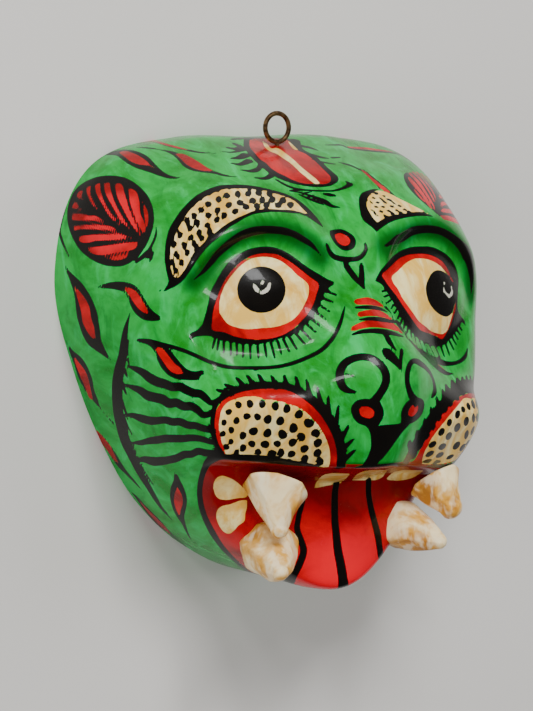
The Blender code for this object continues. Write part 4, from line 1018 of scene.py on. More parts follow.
@dataclass(frozen=True)
class PhotoCamera:
    """Camera at the photograph's viewing angle."""

    azimuth: float = 34.7
    elevation: float = 4.0
    distance: float = 2000.0 * MM
    aim: tuple = (-27.67 * MM, -1.97 * MM, 56.40 * MM)
    sensor: float = 36.0
    width: int = 533
    height: int = 711

    @property
    def lens(self):
        """Focal length in millimetres."""
        return PIXELS_PER_MM * self.distance / MM / self.width * self.sensor

    def axes(self):
        """Right, up and backward directions of the view."""
        turn, rise = math.radians(self.azimuth), math.radians(self.elevation)
        back = np.array((
            -math.sin(turn) * math.cos(rise), math.sin(rise), math.cos(turn) * math.cos(rise),
        ))
        right = np.array((math.cos(turn), 0.0, math.sin(turn)))
        return right, np.cross(back, right), back

    def place(self):
        """Where the camera stands."""
        return np.array(self.aim) + self.distance * self.axes()[2]

    def direction(self, pixel):
        """Unit direction into the scene through a photograph pixel."""
        right, up, back = self.axes()
        focal = self.lens / self.sensor * self.width
        across = (pixel[0] - self.width / 2) / focal
        along = (self.height / 2 - pixel[1]) / focal
        ray = across * right + along * up - back
        return ray / np.linalg.norm(ray)

    def make(self):
        """Create the camera and make it the scene's own."""
        right, up, back = self.axes()
        data = bpy.data.cameras.new("camera")
        data.sensor_fit = "HORIZONTAL"
        data.sensor_width = self.sensor
        data.lens = self.lens
        camera = bpy.data.objects.new("camera", data)
        bpy.context.scene.collection.objects.link(camera)
        columns = (*zip(right, up, back, self.place()), (0.0, 0.0, 0.0, 1.0))
        camera.matrix_world = Matrix(columns)
        bpy.context.scene.camera = camera


class Colour(Enum):
    """Paints laid over the green ground, the ground itself, and a painted highlight (glint)."""

    GREEN = "green"
    RED = "red"
    CREAM = "cream"
    BLACK = "black"
    GLINT = "glint"


def smooth_path(points, closed, widths=None):
    """Fine curve through given points, sharp where they turn sharply.

    Args:
        points: photograph pixels.
        closed: whether the last point joins the first.
        widths: half width at each point, if the path is a brush stroke.

    Returns:
        The fine points and their half widths.
    """
    points = np.asarray(points, float)
    widths = np.zeros(len(points)) if widths is None else np.asarray(widths, float)
    ends = np.roll(points, -1, axis=0) if closed else points[1:]
    starts = points if closed else points[:-1]
    run = ends - starts
    length = np.linalg.norm(run, axis=1, keepdims=True)
    run = run / length
    before = np.roll(run, 1, axis=0) if closed else np.concatenate((run[:1], run))
    after = run if closed else np.concatenate((run, run[-1:]))
    blend = before + after
    straight = np.sum(before * after, axis=1) > 0.2
    blend = blend / np.maximum(np.linalg.norm(blend, axis=1, keepdims=True), 1e-9)
    fine, half = [], []
    for index in range(len(run)):
        other = (index + 1) % len(points)
        go = blend[index] if straight[index] else run[index]
        come = blend[other] if straight[other] else run[index]
        count = max(2, math.ceil(length[index, 0] / TRACE_STEP_PX))
        s = (np.arange(count) / count)[:, None]
        fine.append(
            (2 * s ** 3 - 3 * s ** 2 + 1) * points[index] + (3 * s ** 2 - 2 * s ** 3) * points[other]
            + length[index] * ((s ** 3 - 2 * s ** 2 + s) * go + (s ** 3 - s ** 2) * come)
        )
        half.append(widths[index] + (widths[other] - widths[index]) * s[:, 0])
    if not closed:
        fine.append(points[-1:])
        half.append(widths[-1:])
    return np.concatenate(fine), np.concatenate(half)


def inside_outline(outline, at):
    """Whether places lie inside a closed outline in the disc."""
    x, y = at[:, 0], at[:, 1]
    result = np.zeros(len(at), bool)
    for (ax, ay), (bx, by) in zip(outline, np.roll(outline, -1, axis=0)):
        crosses = (ay > y) != (by > y)
        result ^= crosses & (x < (bx - ax) * (y - ay) / (by - ay + 1e-30) + ax)
    return result


@dataclass
class Trace:
    """Path on the face: points in metres, disc places and half widths in millimetres."""

    points: np.ndarray
    places: np.ndarray
    half: np.ndarray

    def mirrored(self) -> "Trace":
        """The same path on the other side of the face."""
        flip = np.array((-1.0, 1.0, 1.0))
        return Trace(self.points * flip, self.places * flip[:2], self.half)


class Mirror(Enum):
    """Where a feature of the left side is repeated on the right."""

    NONE = "nowhere"
    HIDDEN = "only where the photograph doesn't show the face"
    ALL = "everywhere"


@dataclass(frozen=True)
class Move:
    """Shift of a mirrored feature along the face, with its tangent planes."""

    start: np.ndarray
    start_axes: np.ndarray
    end: np.ndarray
    end_axes: np.ndarray


@dataclass
class FacePainter:
    """Lays brush work on the face as distance fields at the mesh corners, in millimetres."""

    camera: PhotoCamera
    points: np.ndarray
    normals: np.ndarray
    places: np.ndarray
    faces: np.ndarray
    areas: dict = field(default_factory=dict)
    move: Move = None

    def __post_init__(self) -> None:
        """Prepare empty fields and the surface for ray casting."""
        self.tree = BVHTree.FromPolygons(self.points.tolist(), self.faces.tolist())
        count = len(self.points)
        self.areas = {colour: np.full(count, FAR) for colour in Colour}
        self.lines = [
            {"side": np.full(count, FAR), "half": np.zeros(count), "gap": np.full(count, FAR)}
            for _ in range(2)
        ]
        self.strokes = 0
        self.rosy = np.zeros(count)
        # Painted shade, from 0 to 1
        self.shade = np.zeros(count)
        self.facing = self.seen()

    def seen(self) -> np.ndarray:
        """Cosine between the surface and the view, negative where the camera doesn't see it."""
        view = self.camera.place() - self.points
        view = view / np.linalg.norm(view, axis=1, keepdims=True)
        facing = np.sum(view * self.normals, axis=1)
        origin = Vector(self.camera.place())
        for index in np.nonzero((self.points[:, 0] > 0) & (facing > 0))[0]:
            corner = Vector(self.points[index])
            hit = self.tree.ray_cast(origin, (corner - origin).normalized())[0]
            if hit is not None and (hit - corner).length > 2 * MM:
                facing[index] = -0.3
        return facing

    def cast(self, pixel: np.ndarray) -> tuple:
        """Hit of a photograph pixel on the face, moved inwards where it just misses.

        Args:
            pixel: photograph pixel.

        Returns:
            The point on the face and the index of the face of the mesh.
        """
        origin = Vector(self.camera.place())
        pixel = np.asarray(pixel, float)
        middle = np.array((self.camera.width / 2, self.camera.height / 2 + 10))
        for pull in range(80):
            shifted = pixel + (middle - pixel) * pull * 0.002
            hit, _, index, _ = self.tree.ray_cast(origin, Vector(self.camera.direction(shifted)))
            if hit is not None:
                return np.array(hit), index
        raise ValueError("pixel off the face: {}".format(pixel))

    def disc_place(self, hit: np.ndarray, index: int) -> np.ndarray:
        """Place in the disc of a hit on a face of the mesh.

        Args:
            hit: point on the face.
            index: face of the mesh.

        Returns:
            The place in the disc.
        """
        corners = self.faces[index]
        near = np.linalg.norm(self.points[corners] - hit, axis=1)
        a, b, c = corners[np.argsort(near)[:3]]
        edges = np.stack((self.points[b] - self.points[a], self.points[c] - self.points[a]), axis=-1)
        share = np.linalg.lstsq(edges, hit - self.points[a], rcond=None)[0]
        share = np.clip(share, -1.0, 2.0)
        return self.places[a] + share[0] * (self.places[b] - self.places[a]) \
            + share[1] * (self.places[c] - self.places[a])

    def trace(self, pixels: tuple, closed: bool = False, widths: tuple = None, most: float = 2.2) -> Trace:
        """Path on the face under photograph pixels.

        Args:
            pixels: photograph pixels.
            closed: whether the last point joins the first.
            widths: half widths in pixels, if the path is a stroke.
            most: how much wider than seen a foreshortened stroke may be on the face.

        Returns:
            The path.
        """
        fine, half = smooth_path(pixels, closed, widths)
        hits = [self.cast(pixel) for pixel in fine]
        points = np.array([hit for hit, _ in hits])
        places = np.array([self.disc_place(hit, index) for hit, index in hits])
        half = half / PIXELS_PER_MM if widths is None else self.spread(fine, half, most)
        return Trace(points, places, half)

    def spread(self, fine: np.ndarray, half: np.ndarray, most: float) -> np.ndarray:
        """Half widths on the face of a stroke seen in the photograph.

        Args:
            fine: middle line in pixels.
            half: half widths in pixels.
            most: how much wider than seen the stroke may be.

        Returns:
            The half widths in millimetres.
        """
        run = np.gradient(fine, axis=0)
        across = np.stack((run[:, 1], -run[:, 0]), axis=-1)
        across = across / np.maximum(np.linalg.norm(across, axis=1, keepdims=True), 1e-9)
        reach = np.maximum(half, 1.0)[:, None]
        one = np.array([self.cast(pixel)[0] for pixel in fine + reach * across])
        other = np.array([self.cast(pixel)[0] for pixel in fine - reach * across])
        wide = np.linalg.norm(one - other, axis=1) / (2 * MM) * half / reach[:, 0]
        plain = half / PIXELS_PER_MM
        wide = np.clip(wide, plain, most * plain)
        padded = np.concatenate((wide[:1], wide[:1], wide, wide[-1:], wide[-1:]))
        return np.convolve(padded, np.full(5, 0.2), "valid")

    def tangent(self, point: np.ndarray) -> tuple:
        """Nearest point of the face with its directions to the right and up.

        Args:
            point: any point in metres.

        Returns:
            The point on the face and the two directions.
        """
        near, normal, _, _ = self.tree.find_nearest(Vector(point))
        up = Vector((0, 1, 0)) - normal * normal.y
        up.normalize()
        right = up.cross(normal)
        return np.array(near), np.array((right, up))

    def moving(self, pixel: tuple, shift: np.ndarray) -> Move:
        """Move of mirrored features along the face.

        Args:
            pixel: photograph pixel of the feature on the left.
            shift: from its mirror image to its place on the right, in metres.

        Returns:
            The move.
        """
        middle = self.cast(pixel)[0] * np.array((-1.0, 1.0, 1.0))
        return Move(*self.tangent(middle), *self.tangent(middle + shift))

    def opposite(self, path: Trace) -> Trace:
        """Mirror image of a path, moved along the face if a move is set.

        Args:
            path: path on the left.

        Returns:
            The path on the right.
        """
        path = path.mirrored()
        if self.move is None:
            return path
        flat = (path.points - self.move.start) @ self.move.start_axes.T
        points = self.move.end + flat @ self.move.end_axes
        hits = [self.tree.find_nearest(Vector(point)) for point in points]
        return Trace(
            np.array([hit[0] for hit in hits]),
            np.array([self.disc_place(np.array(hit[0]), hit[2]) for hit in hits]),
            path.half,
        )

    def copies(self, path: Trace, mirror: Mirror) -> list:
        """A path and its mirror image where wanted.

        Args:
            path: path on the left.
            mirror: where it is repeated.

        Returns:
            Pairs of a path and whether it is painted only where the camera doesn't see it.
        """
        if mirror is Mirror.NONE:
            return [(path, False)]
        return [(path, False), (self.opposite(path), mirror is Mirror.HIDDEN)]

    def near(self, path: Trace, margin: float) -> np.ndarray:
        """Corners of the mesh close to a path in the disc."""
        low = path.places.min(axis=0) - margin
        high = path.places.max(axis=0) + margin
        return np.nonzero(np.all((self.places > low) & (self.places < high), axis=1))[0]

    def measure(self, path: Trace, chosen: np.ndarray, closed: bool) -> tuple:
        """Distance from mesh corners to a path.

        Args:
            path: the path.
            chosen: indices of the corners.
            closed: whether the path's last point joins its first.

        Returns:
            The distance in millimetres, the share along the nearest run and that run's index.
        """
        start = path.points
        end = np.roll(start, -1, axis=0)
        if not closed:
            start, end = start[:-1], end[:-1]
        run = end - start
        length = np.maximum(np.sum(run * run, axis=1), 1e-14)
        best = np.full(len(chosen), 1e9)
        share = np.zeros(len(chosen))
        index = np.zeros(len(chosen), int)
        for first in range(0, len(chosen), 4000):
            part = slice(first, first + 4000)
            away = self.points[chosen[part], None] - start[None]
            along = np.clip(np.sum(away * run, axis=2) / length, 0, 1)
            gap = np.linalg.norm(away - along[..., None] * run, axis=2)
            nearest = np.argmin(gap, axis=1)
            rows = np.arange(len(nearest))
            best[part] = gap[rows, nearest]
            share[part] = along[rows, nearest]
            index[part] = nearest
        return best / MM, share, index

    def cover(self, colour: Colour, chosen: np.ndarray, distance: np.ndarray) -> None:
        """Lay one paint over the others.

        Args:
            colour: paint.
            chosen: indices of the corners.
            distance: distance to the paint's edge in millimetres, negative inside.
        """
        for other, kept in self.areas.items():
            if other is colour:
                kept[chosen] = np.minimum(kept[chosen], distance)
            else:
                kept[chosen] = np.maximum(kept[chosen], -distance)

    def fill(self, colour: Colour, path: Trace, within: np.ndarray = None, hidden: bool = False) -> None:
        """Fill a closed path with paint.

        Args:
            colour: paint.
            path: closed path.
            within: further distance field that the area stays in, if any.
            hidden: whether it is painted only where the camera doesn't see the face.
        """
        chosen = self.near(path, 0.09)
        distance, _, _ = self.measure(path, chosen, True)
        distance = np.where(inside_outline(path.places, self.places[chosen]), -distance, distance)
        if within is not None:
            distance = np.maximum(distance, within[chosen])
        if hidden:
            distance = np.maximum(distance, self.facing[chosen] * 12)
        self.cover(colour, chosen, distance)

    def area(self, colour: Colour, pixels: tuple, mirror: Mirror = Mirror.NONE) -> None:
        """Fill an outline read from the photograph.

        Args:
            colour: paint.
            pixels: outline in photograph pixels.
            mirror: where it is repeated on the right.
        """
        for path, hidden in self.copies(self.trace(pixels, closed=True), mirror):
            self.fill(colour, path, hidden=hidden)

    def thick(self, colour: Colour, pixels: tuple, widths: tuple, mirror: Mirror = Mirror.NONE) -> None:
        """Brush stroke in any paint.

        Args:
            colour: paint.
            pixels: middle line in photograph pixels.
            widths: half widths in pixels.
            mirror: where it is repeated on the right.
        """
        for path, hidden in self.copies(self.trace(pixels, widths=widths), mirror):
            chosen = self.near(path, 0.06)
            distance, share, index = self.measure(path, chosen, False)
            distance = distance - path.half[index] - share * (path.half[index + 1] - path.half[index])
            if hidden:
                distance = np.maximum(distance, self.facing[chosen] * 12)
            self.cover(colour, chosen, distance)

    def line(self, pixels: tuple, widths: tuple, mirror: Mirror = Mirror.NONE, most: float = 2.2) -> None:
        """Black brush stroke that stays crisp even when it is thinner than the mesh.

        Args:
            pixels: middle line in photograph pixels.
            widths: half widths in pixels.
            mirror: where it is repeated on the right.
            most: how much wider than seen a foreshortened stroke may be on the face.
        """
        for path, hidden in self.copies(self.trace(pixels, widths=widths, most=most), mirror):
            self.draw(path, hidden)

    def draw(self, path: Trace, hidden: bool = False) -> None:
        """Draw a black stroke along a path, in the layers of lines by turns.

        Args:
            path: middle line with its half widths.
            hidden: whether it is painted only where the camera doesn't see the face.
        """
        chosen = self.near(path, 0.06)
        if hidden:
            chosen = chosen[self.facing[chosen] < 0]
        if not len(chosen):
            return
        distance, share, index = self.measure(path, chosen, False)
        half = path.half[index] + share * (path.half[index + 1] - path.half[index])
        gap = distance - half
        self.cover(Colour.BLACK, chosen, gap + np.clip(0.9 - half, 0, 1))
        run = path.points[index + 1] - path.points[index]
        away = self.points[chosen] - path.points[index]
        side = np.sign(np.sum(np.cross(run, self.normals[chosen]) * away, axis=1))
        layer = self.lines[self.strokes % 2]
        self.strokes += 1
        better = gap < layer["gap"][chosen]
        for name, value in (("side", side * distance), ("half", half), ("gap", gap)):
            layer[name][chosen[better]] = value[better]

    def dot(self, colour: Colour, pixel: tuple, half: float, mirror: Mirror = Mirror.NONE) -> None:
        """Round dab, a little uneven.

        Args:
            colour: paint.
            pixel: photograph pixel of its middle.
            half: radius in photograph pixels.
            mirror: where it is repeated on the right.
        """
        turn = np.arange(18) * math.tau / 18
        wave = 1 + 0.09 * np.sin(2 * turn + pixel[0]) + 0.05 * np.sin(3 * turn + pixel[1])
        ring = np.stack((np.cos(turn), np.sin(turn)), axis=-1) * (half * wave)[:, None]
        self.area(colour, np.asarray(pixel)[:2] + ring, mirror)

    def oval(self, colour: Colour, pixel: tuple, half: tuple, degrees: float = 0.0) -> None:
        """Oval patch.

        Args:
            colour: paint.
            pixel: photograph pixel of its middle.
            half: half length and half width in pixels.
            degrees: how far its length is turned up from the horizontal.
        """
        turn = np.arange(24) * math.tau / 24
        lean = math.radians(degrees)
        long, short = half[0] * np.cos(turn), half[1] * np.sin(turn)
        across = long * math.cos(lean) - short * math.sin(lean)
        down = -long * math.sin(lean) - short * math.cos(lean)
        self.area(colour, np.asarray(pixel) + np.stack((across, down), axis=-1))

    def ball(self, colour: Colour, middle: np.ndarray, radius: float) -> None:
        """Patch round a point of the face.

        Args:
            colour: paint.
            middle: point in metres.
            radius: how far it reaches in millimetres.
        """
        away = np.linalg.norm(self.points - middle, axis=1) / MM
        chosen = np.nonzero(away < radius + FAR)[0]
        self.cover(colour, chosen, away[chosen] - radius)


@dataclass
class PaintScheme:
    """All the painted features of the face, from the lowest coat up."""

    painter: FacePainter
    form: FaceForm

    def paint(self) -> None:
        """Lay every feature in the order in which it was painted."""
        self.mouth()
        self.pads()
        self.ears()
        self.eyes()
        self.flames()
        self.brows()
        self.crown()
        self.nose()
        self.whiskers()
        self.shadows()

    def mouth(self) -> None:
        """Red inside of the mouth with painted shade under the upper lip, its black edge, the tongue lines and
        the flat teeth.
        """
        painter = self.painter
        left = painter.trace(MOUTH_EDGE_PX, widths=MOUTH_EDGE_HALF_PX)
        right = left.mirrored()
        centre = self.form.point(np.zeros(1), np.zeros(1)) - np.array((0, MIDDLE_ABOVE_CENTRE, 0))
        path = Trace(
            np.concatenate((left.points, right.points[::-1], centre)),
            np.concatenate((left.places, right.places[::-1], np.zeros((1, 2)))),
            np.concatenate((left.half, right.half[::-1], np.zeros(1))),
        )
        y = painter.points[:, 1] + MIDDLE_ABOVE_CENTRE
        painter.fill(Colour.RED, path, (y - lip_line(painter.points[:, 0])) / MM - 1.5)
        # Painted shade: the red darkens towards the top of the mouth, under the upper lip.
        inside = painter.areas[Colour.RED] < 0.5
        painter.shade = inside * smooth_step((y + 88 * MM) / (26 * MM))
        painter.draw(left)
        painter.draw(right, hidden=True)
        for tooth in SIDE_TEETH_PX:
            painter.area(Colour.CREAM, tooth, Mirror.HIDDEN)
        for tooth in FRONT_TEETH_PX:
            painter.area(Colour.CREAM, tooth)
        for pixels, widths in TONGUE_LINES_PX:
            painter.line(pixels, widths)
        down = smooth_step((-72 * MM - y) / (24 * MM))
        middle = np.exp(-((painter.points[:, 0] - 6 * MM) / (30 * MM)) ** 4)
        painter.rosy = np.maximum(painter.rosy, down * middle)

    def pads(self) -> None:
        """Spotted whisker pads, their fur fringe and the black lip."""
        painter = self.painter
        painter.move = painter.moving(PAD_MIDDLE_PX, np.array((0, -DROP_RIGHT, 0)))
        painter.area(Colour.RED, PAD_RED_PX, Mirror.HIDDEN)
        painter.area(Colour.CREAM, PAD_CREAM_PX, Mirror.HIDDEN)
        for x, y, half in PAD_DOTS_PX:
            painter.dot(Colour.BLACK, (x, y), half * PAD_DOT_SCALE, Mirror.HIDDEN)
        painter.line(PAD_BAND_PX, PAD_BAND_HALF_PX, Mirror.HIDDEN)
        painter.line(PAD_OUTER_BAND_PX, PAD_OUTER_BAND_HALF_PX, Mirror.HIDDEN)
        for root, tip in PAD_SPIKES_PX:
            painter.line((root, tip), (PAD_SPIKE_ROOT_PX, PAD_SPIKE_TIP_PX), Mirror.HIDDEN)
        painter.move = None
        painter.area(Colour.RED, RIGHT_PAD_RED_PX)
        painter.area(Colour.CREAM, RIGHT_PAD_CREAM_PX)
        for x, y, long, short, degrees in RIGHT_PAD_DOTS_PX:
            painter.oval(Colour.BLACK, (x, y), (long, short), degrees)
        painter.line(RIGHT_BAND_PX, RIGHT_BAND_HALF_PX)
        for root, tip in RIGHT_SPIKES_PX:
            painter.line((root, tip), (PAD_SPIKE_ROOT_PX, PAD_SPIKE_TIP_PX))
        painter.line(LIP_PX, LIP_HALF_PX, most=1.2)
        painter.line(LIP_RIGHT_PX, LIP_RIGHT_HALF_PX, most=1.2)

    def eyes(self) -> None:
        """Almond eyes with lashes and a painted highlight on each pupil, the ridge lines and the lines under
        the eyes.
        """
        painter = self.painter
        painter.area(Colour.BLACK, EYE_OUTLINE_PX)
        painter.area(Colour.RED, EYE_RED_PX)
        painter.area(Colour.CREAM, EYE_CREAM_PX)
        painter.oval(Colour.BLACK, PUPIL_CENTRE_PX, PUPIL_HALF_PX)
        # Painted highlight on the left pupil
        painter.thick(Colour.GLINT, PUPIL_CRESCENT_PX, PUPIL_CRESCENT_HALF_PX)
        painter.oval(Colour.GLINT, PUPIL_SPARK_PX, PUPIL_SPARK_HALF_PX)
        painter.area(Colour.BLACK, RIGHT_EYE_PX)
        painter.area(Colour.RED, RIGHT_EYE_RED_PX)
        painter.area(Colour.CREAM, RIGHT_EYE_CREAM_PX)
        painter.area(Colour.BLACK, RIGHT_PUPIL_PX)
        # Painted highlight on the right pupil
        painter.thick(Colour.GLINT, RIGHT_CRESCENT_PX, RIGHT_CRESCENT_HALF_PX)
        painter.oval(Colour.GLINT, RIGHT_SPARK_PX, RIGHT_SPARK_HALF_PX)
        for root, tip in LASHES_PX:
            painter.line((root, tip), (LASH_PX, LASH_PX * 0.75))
        for root, tip in RIGHT_LASHES_PX:
            painter.line((root, tip), (RIGHT_LASH_PX, RIGHT_LASH_PX * 0.7), most=1.3)
        painter.line(RIDGE_LINE_PX, RIDGE_LINE_HALF_PX)
        painter.line(RIGHT_RIDGE_LINE_PX, RIGHT_RIDGE_LINE_HALF_PX)
        painter.line(UNDER_EYE_PX, UNDER_EYE_HALF_PX)
        for pixels, widths in RIGHT_UNDER_EYE_PX:
            painter.line(pixels, widths)
        painter.thick(Colour.RED, RIGHT_UNDER_EYE_RED_PX, RIGHT_UNDER_EYE_RED_HALF_PX)

    def ears(self) -> None:
        """Black ear discs with a fan of red leaves."""
        painter = self.painter
        right = painter.cast(RIGHT_EAR_CENTRE_PX)[0]
        left = painter.cast(EAR_CENTRE_PX)[0]
        painter.move = painter.moving(EAR_CENTRE_PX, right - left * np.array((-1, 1, 1)))
        painter.area(Colour.BLACK, EAR_RIM_PX)
        painter.ball(Colour.BLACK, right, RIGHT_EAR_RADIUS)
        for leaf in EAR_LEAVES_PX:
            painter.area(Colour.RED, leaf, Mirror.ALL)
        painter.area(Colour.GREEN, CREST_PX)
        for middle in (left, right):
            away = np.linalg.norm(painter.points - middle, axis=1) / MM
            painter.rosy = np.maximum(painter.rosy, 0.75 * smooth_step((18.5 - away) / 4))
        painter.move = None
        painter.line(EAR_TAIL_PX, (0.5, 1.2, 1.3, 1), Mirror.HIDDEN)
        for drop in EAR_TAIL_DROPS_PX:
            painter.line(drop, np.linspace(2.6, 1.6, len(drop)), Mirror.HIDDEN)

    def flames(self) -> None:
        """Black flames with red cores on the temples, cheeks and jaw."""
        painter = self.painter
        for outline, core in FLAMES_PX:
            painter.area(Colour.BLACK, outline, Mirror.HIDDEN)
            painter.area(Colour.RED, core, Mirror.HIDDEN)
        painter.area(Colour.BLACK, FLAME_RIGHT_PX)
        painter.area(Colour.RED, FLAME_RIGHT_CORE_PX)
        painter.line(CHIN_HAIR_PX, (0.4, 0.6, 0.3))

    def brows(self) -> None:
        """Spotted brow bands."""
        painter = self.painter
        painter.area(Colour.BLACK, BROW_PX, Mirror.HIDDEN)
        painter.area(Colour.CREAM, BROW_CREAM_PX, Mirror.HIDDEN)
        painter.area(Colour.BLACK, RIGHT_BROW_PX)
        painter.area(Colour.CREAM, RIGHT_BROW_CREAM_PX)
        for pixel in BROW_DOTS_PX:
            painter.dot(Colour.BLACK, pixel, BROW_DOT_PX, Mirror.HIDDEN)
        for pixel in BROW_NOTCHES_PX:
            painter.dot(Colour.BLACK, pixel, BROW_NOTCH_PX, Mirror.HIDDEN)
        for pixel in RIGHT_BROW_DASHES_PX:
            painter.oval(Colour.BLACK, pixel, RIGHT_BROW_DASH_PX[:2], RIGHT_BROW_DASH_PX[2])

    def crown(self) -> None:
        """Leaf under the ring with its ticks, and the streaks along the edge."""
        painter = self.painter
        painter.area(Colour.BLACK, LEAF_PX)
        painter.area(Colour.RED, LEAF_RED_PX)
        painter.area(Colour.CREAM, LEAF_RIB_PX)
        painter.area(Colour.CREAM, LEAF_RIB_SIDE_PX)
        for pixels, widths in LEAF_TICKS_PX:
            painter.line(pixels, widths)
        painter.thick(Colour.BLACK, TOP_STREAK_PX, TOP_STREAK_HALF_PX, Mirror.HIDDEN)
        painter.thick(Colour.RED, TOP_STREAK_RED_PX, TOP_STREAK_RED_HALF_PX, Mirror.HIDDEN)
        painter.thick(Colour.BLACK, RIGHT_STREAK_PX, RIGHT_STREAK_HALF_PX)
        painter.thick(Colour.RED, RIGHT_STREAK_RED_PX, RIGHT_STREAK_RED_HALF_PX)
        painter.line(LEFT_EDGE_LINE_PX, LEFT_EDGE_LINE_HALF_PX, Mirror.HIDDEN)

    def nose(self) -> None:
        """Third eye, bars, drops, nostril curls and the black trunk down to the lip."""
        painter = self.painter
        painter.area(Colour.BLACK, THIRD_EYE_PX)
        painter.area(Colour.RED, THIRD_EYE_RED_PX)
        painter.line(THIRD_EYE_ARC_PX, THIRD_EYE_ARC_HALF_PX)
        for pixels, widths in NOSE_V_PX + NOSE_BAR_SHADOWS_PX:
            painter.line(pixels, widths)
        for pixels, widths in NOSE_BARS_PX:
            painter.thick(Colour.RED, pixels, widths)
        painter.line(NOSE_DROP_PX, NOSE_DROP_HALF_PX)
        painter.area(Colour.BLACK, NOSE_LEAF_PX)
        painter.area(Colour.BLACK, PHILTRUM_PX)
        painter.area(Colour.BLACK, NOSE_RING_LEFT_PX)
        painter.area(Colour.BLACK, NOSE_RING_RIGHT_PX)
        painter.area(Colour.RED, NOSE_RING_LEFT_RED_PX)
        painter.area(Colour.RED, NOSE_RING_RIGHT_RED_PX)
        painter.line(NOSTRIL_LEFT_PX, NOSTRIL_LEFT_HALF_PX)
        painter.line(NOSTRIL_LEFT_TICK_PX, (0.6, 0.9, 0.6))
        painter.line(NOSTRIL_RIGHT_PX, NOSTRIL_RIGHT_HALF_PX)

    def whiskers(self) -> None:
        """Wavy whiskers and the curved band behind them with its hairs."""
        for pixels, widths in WHISKERS_PX:
            self.painter.line(pixels, widths, Mirror.HIDDEN)
        self.painter.line(SICKLE_PX, SICKLE_HALF_PX, Mirror.HIDDEN)
        for pixels in SICKLE_HAIRS_PX:
            self.painter.line(pixels, (0.9, 0.8, 0.3), Mirror.HIDDEN)

    def shadows(self) -> None:
        """Painted shade under the brow ridges, partly darker paint, between the eyes and the ridge lines over
        them, in the eye hollows.
        """
        painter = self.painter
        for pixels in (RIDGE_LINE_PX, RIGHT_RIDGE_LINE_PX):
            path = painter.trace(pixels)
            chosen = painter.near(path, 0.12)
            distance, _, _ = painter.measure(path, chosen, False)
            below = smooth_step((11 - distance) / 9)
            painter.shade[chosen] = np.maximum(painter.shade[chosen], below)


class Shade:
    """Value in a material's node tree with plain arithmetic."""

    def __init__(self, finish, socket):
        """Hold a socket of a finish."""
        self.finish = finish
        self.socket = socket

    def math(self, operation, *others):
        """Math node with this value first."""
        node = self.finish.node("ShaderNodeMath", {"operation": operation}, (self, *others))
        return Shade(self.finish, node.outputs[0])

    def __add__(self, other):
        """Sum."""
        return self.math("ADD", other)

    __radd__ = __add__

    def __mul__(self, other):
        """Product."""
        return self.math("MULTIPLY", other)

    __rmul__ = __mul__

    def __sub__(self, other):
        """Difference."""
        return self.math("SUBTRACT", other)

    def __rsub__(self, other):
        """Difference from a number."""
        return self.math("MULTIPLY", -1.0) + other

    def __neg__(self):
        """Opposite."""
        return self.math("MULTIPLY", -1.0)

    def __truediv__(self, other):
        """Quotient."""
        return self.math("DIVIDE", other)

    def above(self, edge, soft):
        """1 above an edge, 0 below it, eased over a soft band."""
        node = self.finish.node(
            "ShaderNodeMapRange", {"interpolation_type": "SMOOTHSTEP"},
            {"Value": self, "From Min": edge - soft, "From Max": edge + soft},
        )
        return Shade(self.finish, node.outputs[0])

    def below(self, edge, soft):
        """1 below an edge, 0 above it, eased over a soft band."""
        return 1.0 - self.above(edge, soft)


@dataclass
class Finish:
    """Material made of nodes."""

    name: str

    def __post_init__(self):
        """Create the material and its places in object coordinates."""
        self.material = bpy.data.materials.new(self.name)
        self.material.use_nodes = True
        self.tree = self.material.node_tree
        self.shader = self.tree.nodes["Principled BSDF"]
        self.places = self.node("ShaderNodeTexCoord", {}, {}).outputs["Object"]

    def node(self, kind, settings, inputs):
        """Add a node.

        Args:
            kind: node type.
            settings: properties by name.
            inputs: values or links by socket name, or in order.

        Returns:
            The node.
        """
        node = self.tree.nodes.new(kind)
        for key, value in settings.items():
            setattr(node, key, value)
        pairs = inputs.items() if isinstance(inputs, dict) else enumerate(inputs)
        for key, value in pairs:
            self.join(value, node.inputs[key])
        return node

    def join(self, value, socket):
        """Link a value to a socket, or set it there."""
        if isinstance(value, Shade):
            value = value.socket
        if isinstance(value, bpy.types.NodeSocket):
            self.tree.links.new(value, socket)
        elif isinstance(value, tuple) and len(value) == 3 and len(socket.default_value) == 4:
            socket.default_value = (*value, 1.0)
        else:
            socket.default_value = value

    def field(self, name):
        """The three numbers that the mesh carries under a name."""
        vector = self.node("ShaderNodeAttribute", {"attribute_name": name}, {}).outputs["Vector"]
        parts = self.node("ShaderNodeSeparateXYZ", {}, (vector,))
        return tuple(Shade(self, parts.outputs[index]) for index in range(3))

    def stroke(self, name: str) -> Shade:
        """Distance to the edge of the black strokes that the mesh carries under a name."""
        side, half, gap = self.field(name)
        return (side.math("ABSOLUTE") - half).math("MAXIMUM", gap - 0.38)

    def noise(self, scale, detail=3.0, roughness=0.5, stretch=(1.0, 1.0, 1.0), distortion=0.0):
        """Soft random value from 0 to 1 over the piece, scale in waves per metre."""
        at = self.node("ShaderNodeMapping", {"vector_type": "POINT"}, {"Vector": self.places, "Scale": stretch})
        node = self.node("ShaderNodeTexNoise", {}, {
            "Vector": at.outputs[0], "Scale": scale, "Detail": detail, "Roughness": roughness,
            "Distortion": distortion,
        })
        return Shade(self, node.outputs["Fac"])

    def mix(self, share, first, second):
        """Colour between two colours."""
        node = self.node("ShaderNodeMix", {"data_type": "RGBA"}, {0: share, 6: first, 7: second})
        return node.outputs[2]

    def bump(self, height, distance, strength=1.0):
        """Normal of a surface raised by a height from 0 to 1 times a distance in metres."""
        node = self.node("ShaderNodeBump", {}, {
            "Height": height, "Distance": distance, "Strength": strength,
        })
        return node.outputs[0]

    def set(self, **sockets):
        """Set or link the shader's sockets, named with _ for spaces."""
        for key, value in sockets.items():
            self.join(value, self.shader.inputs[key.replace("_", " ")])


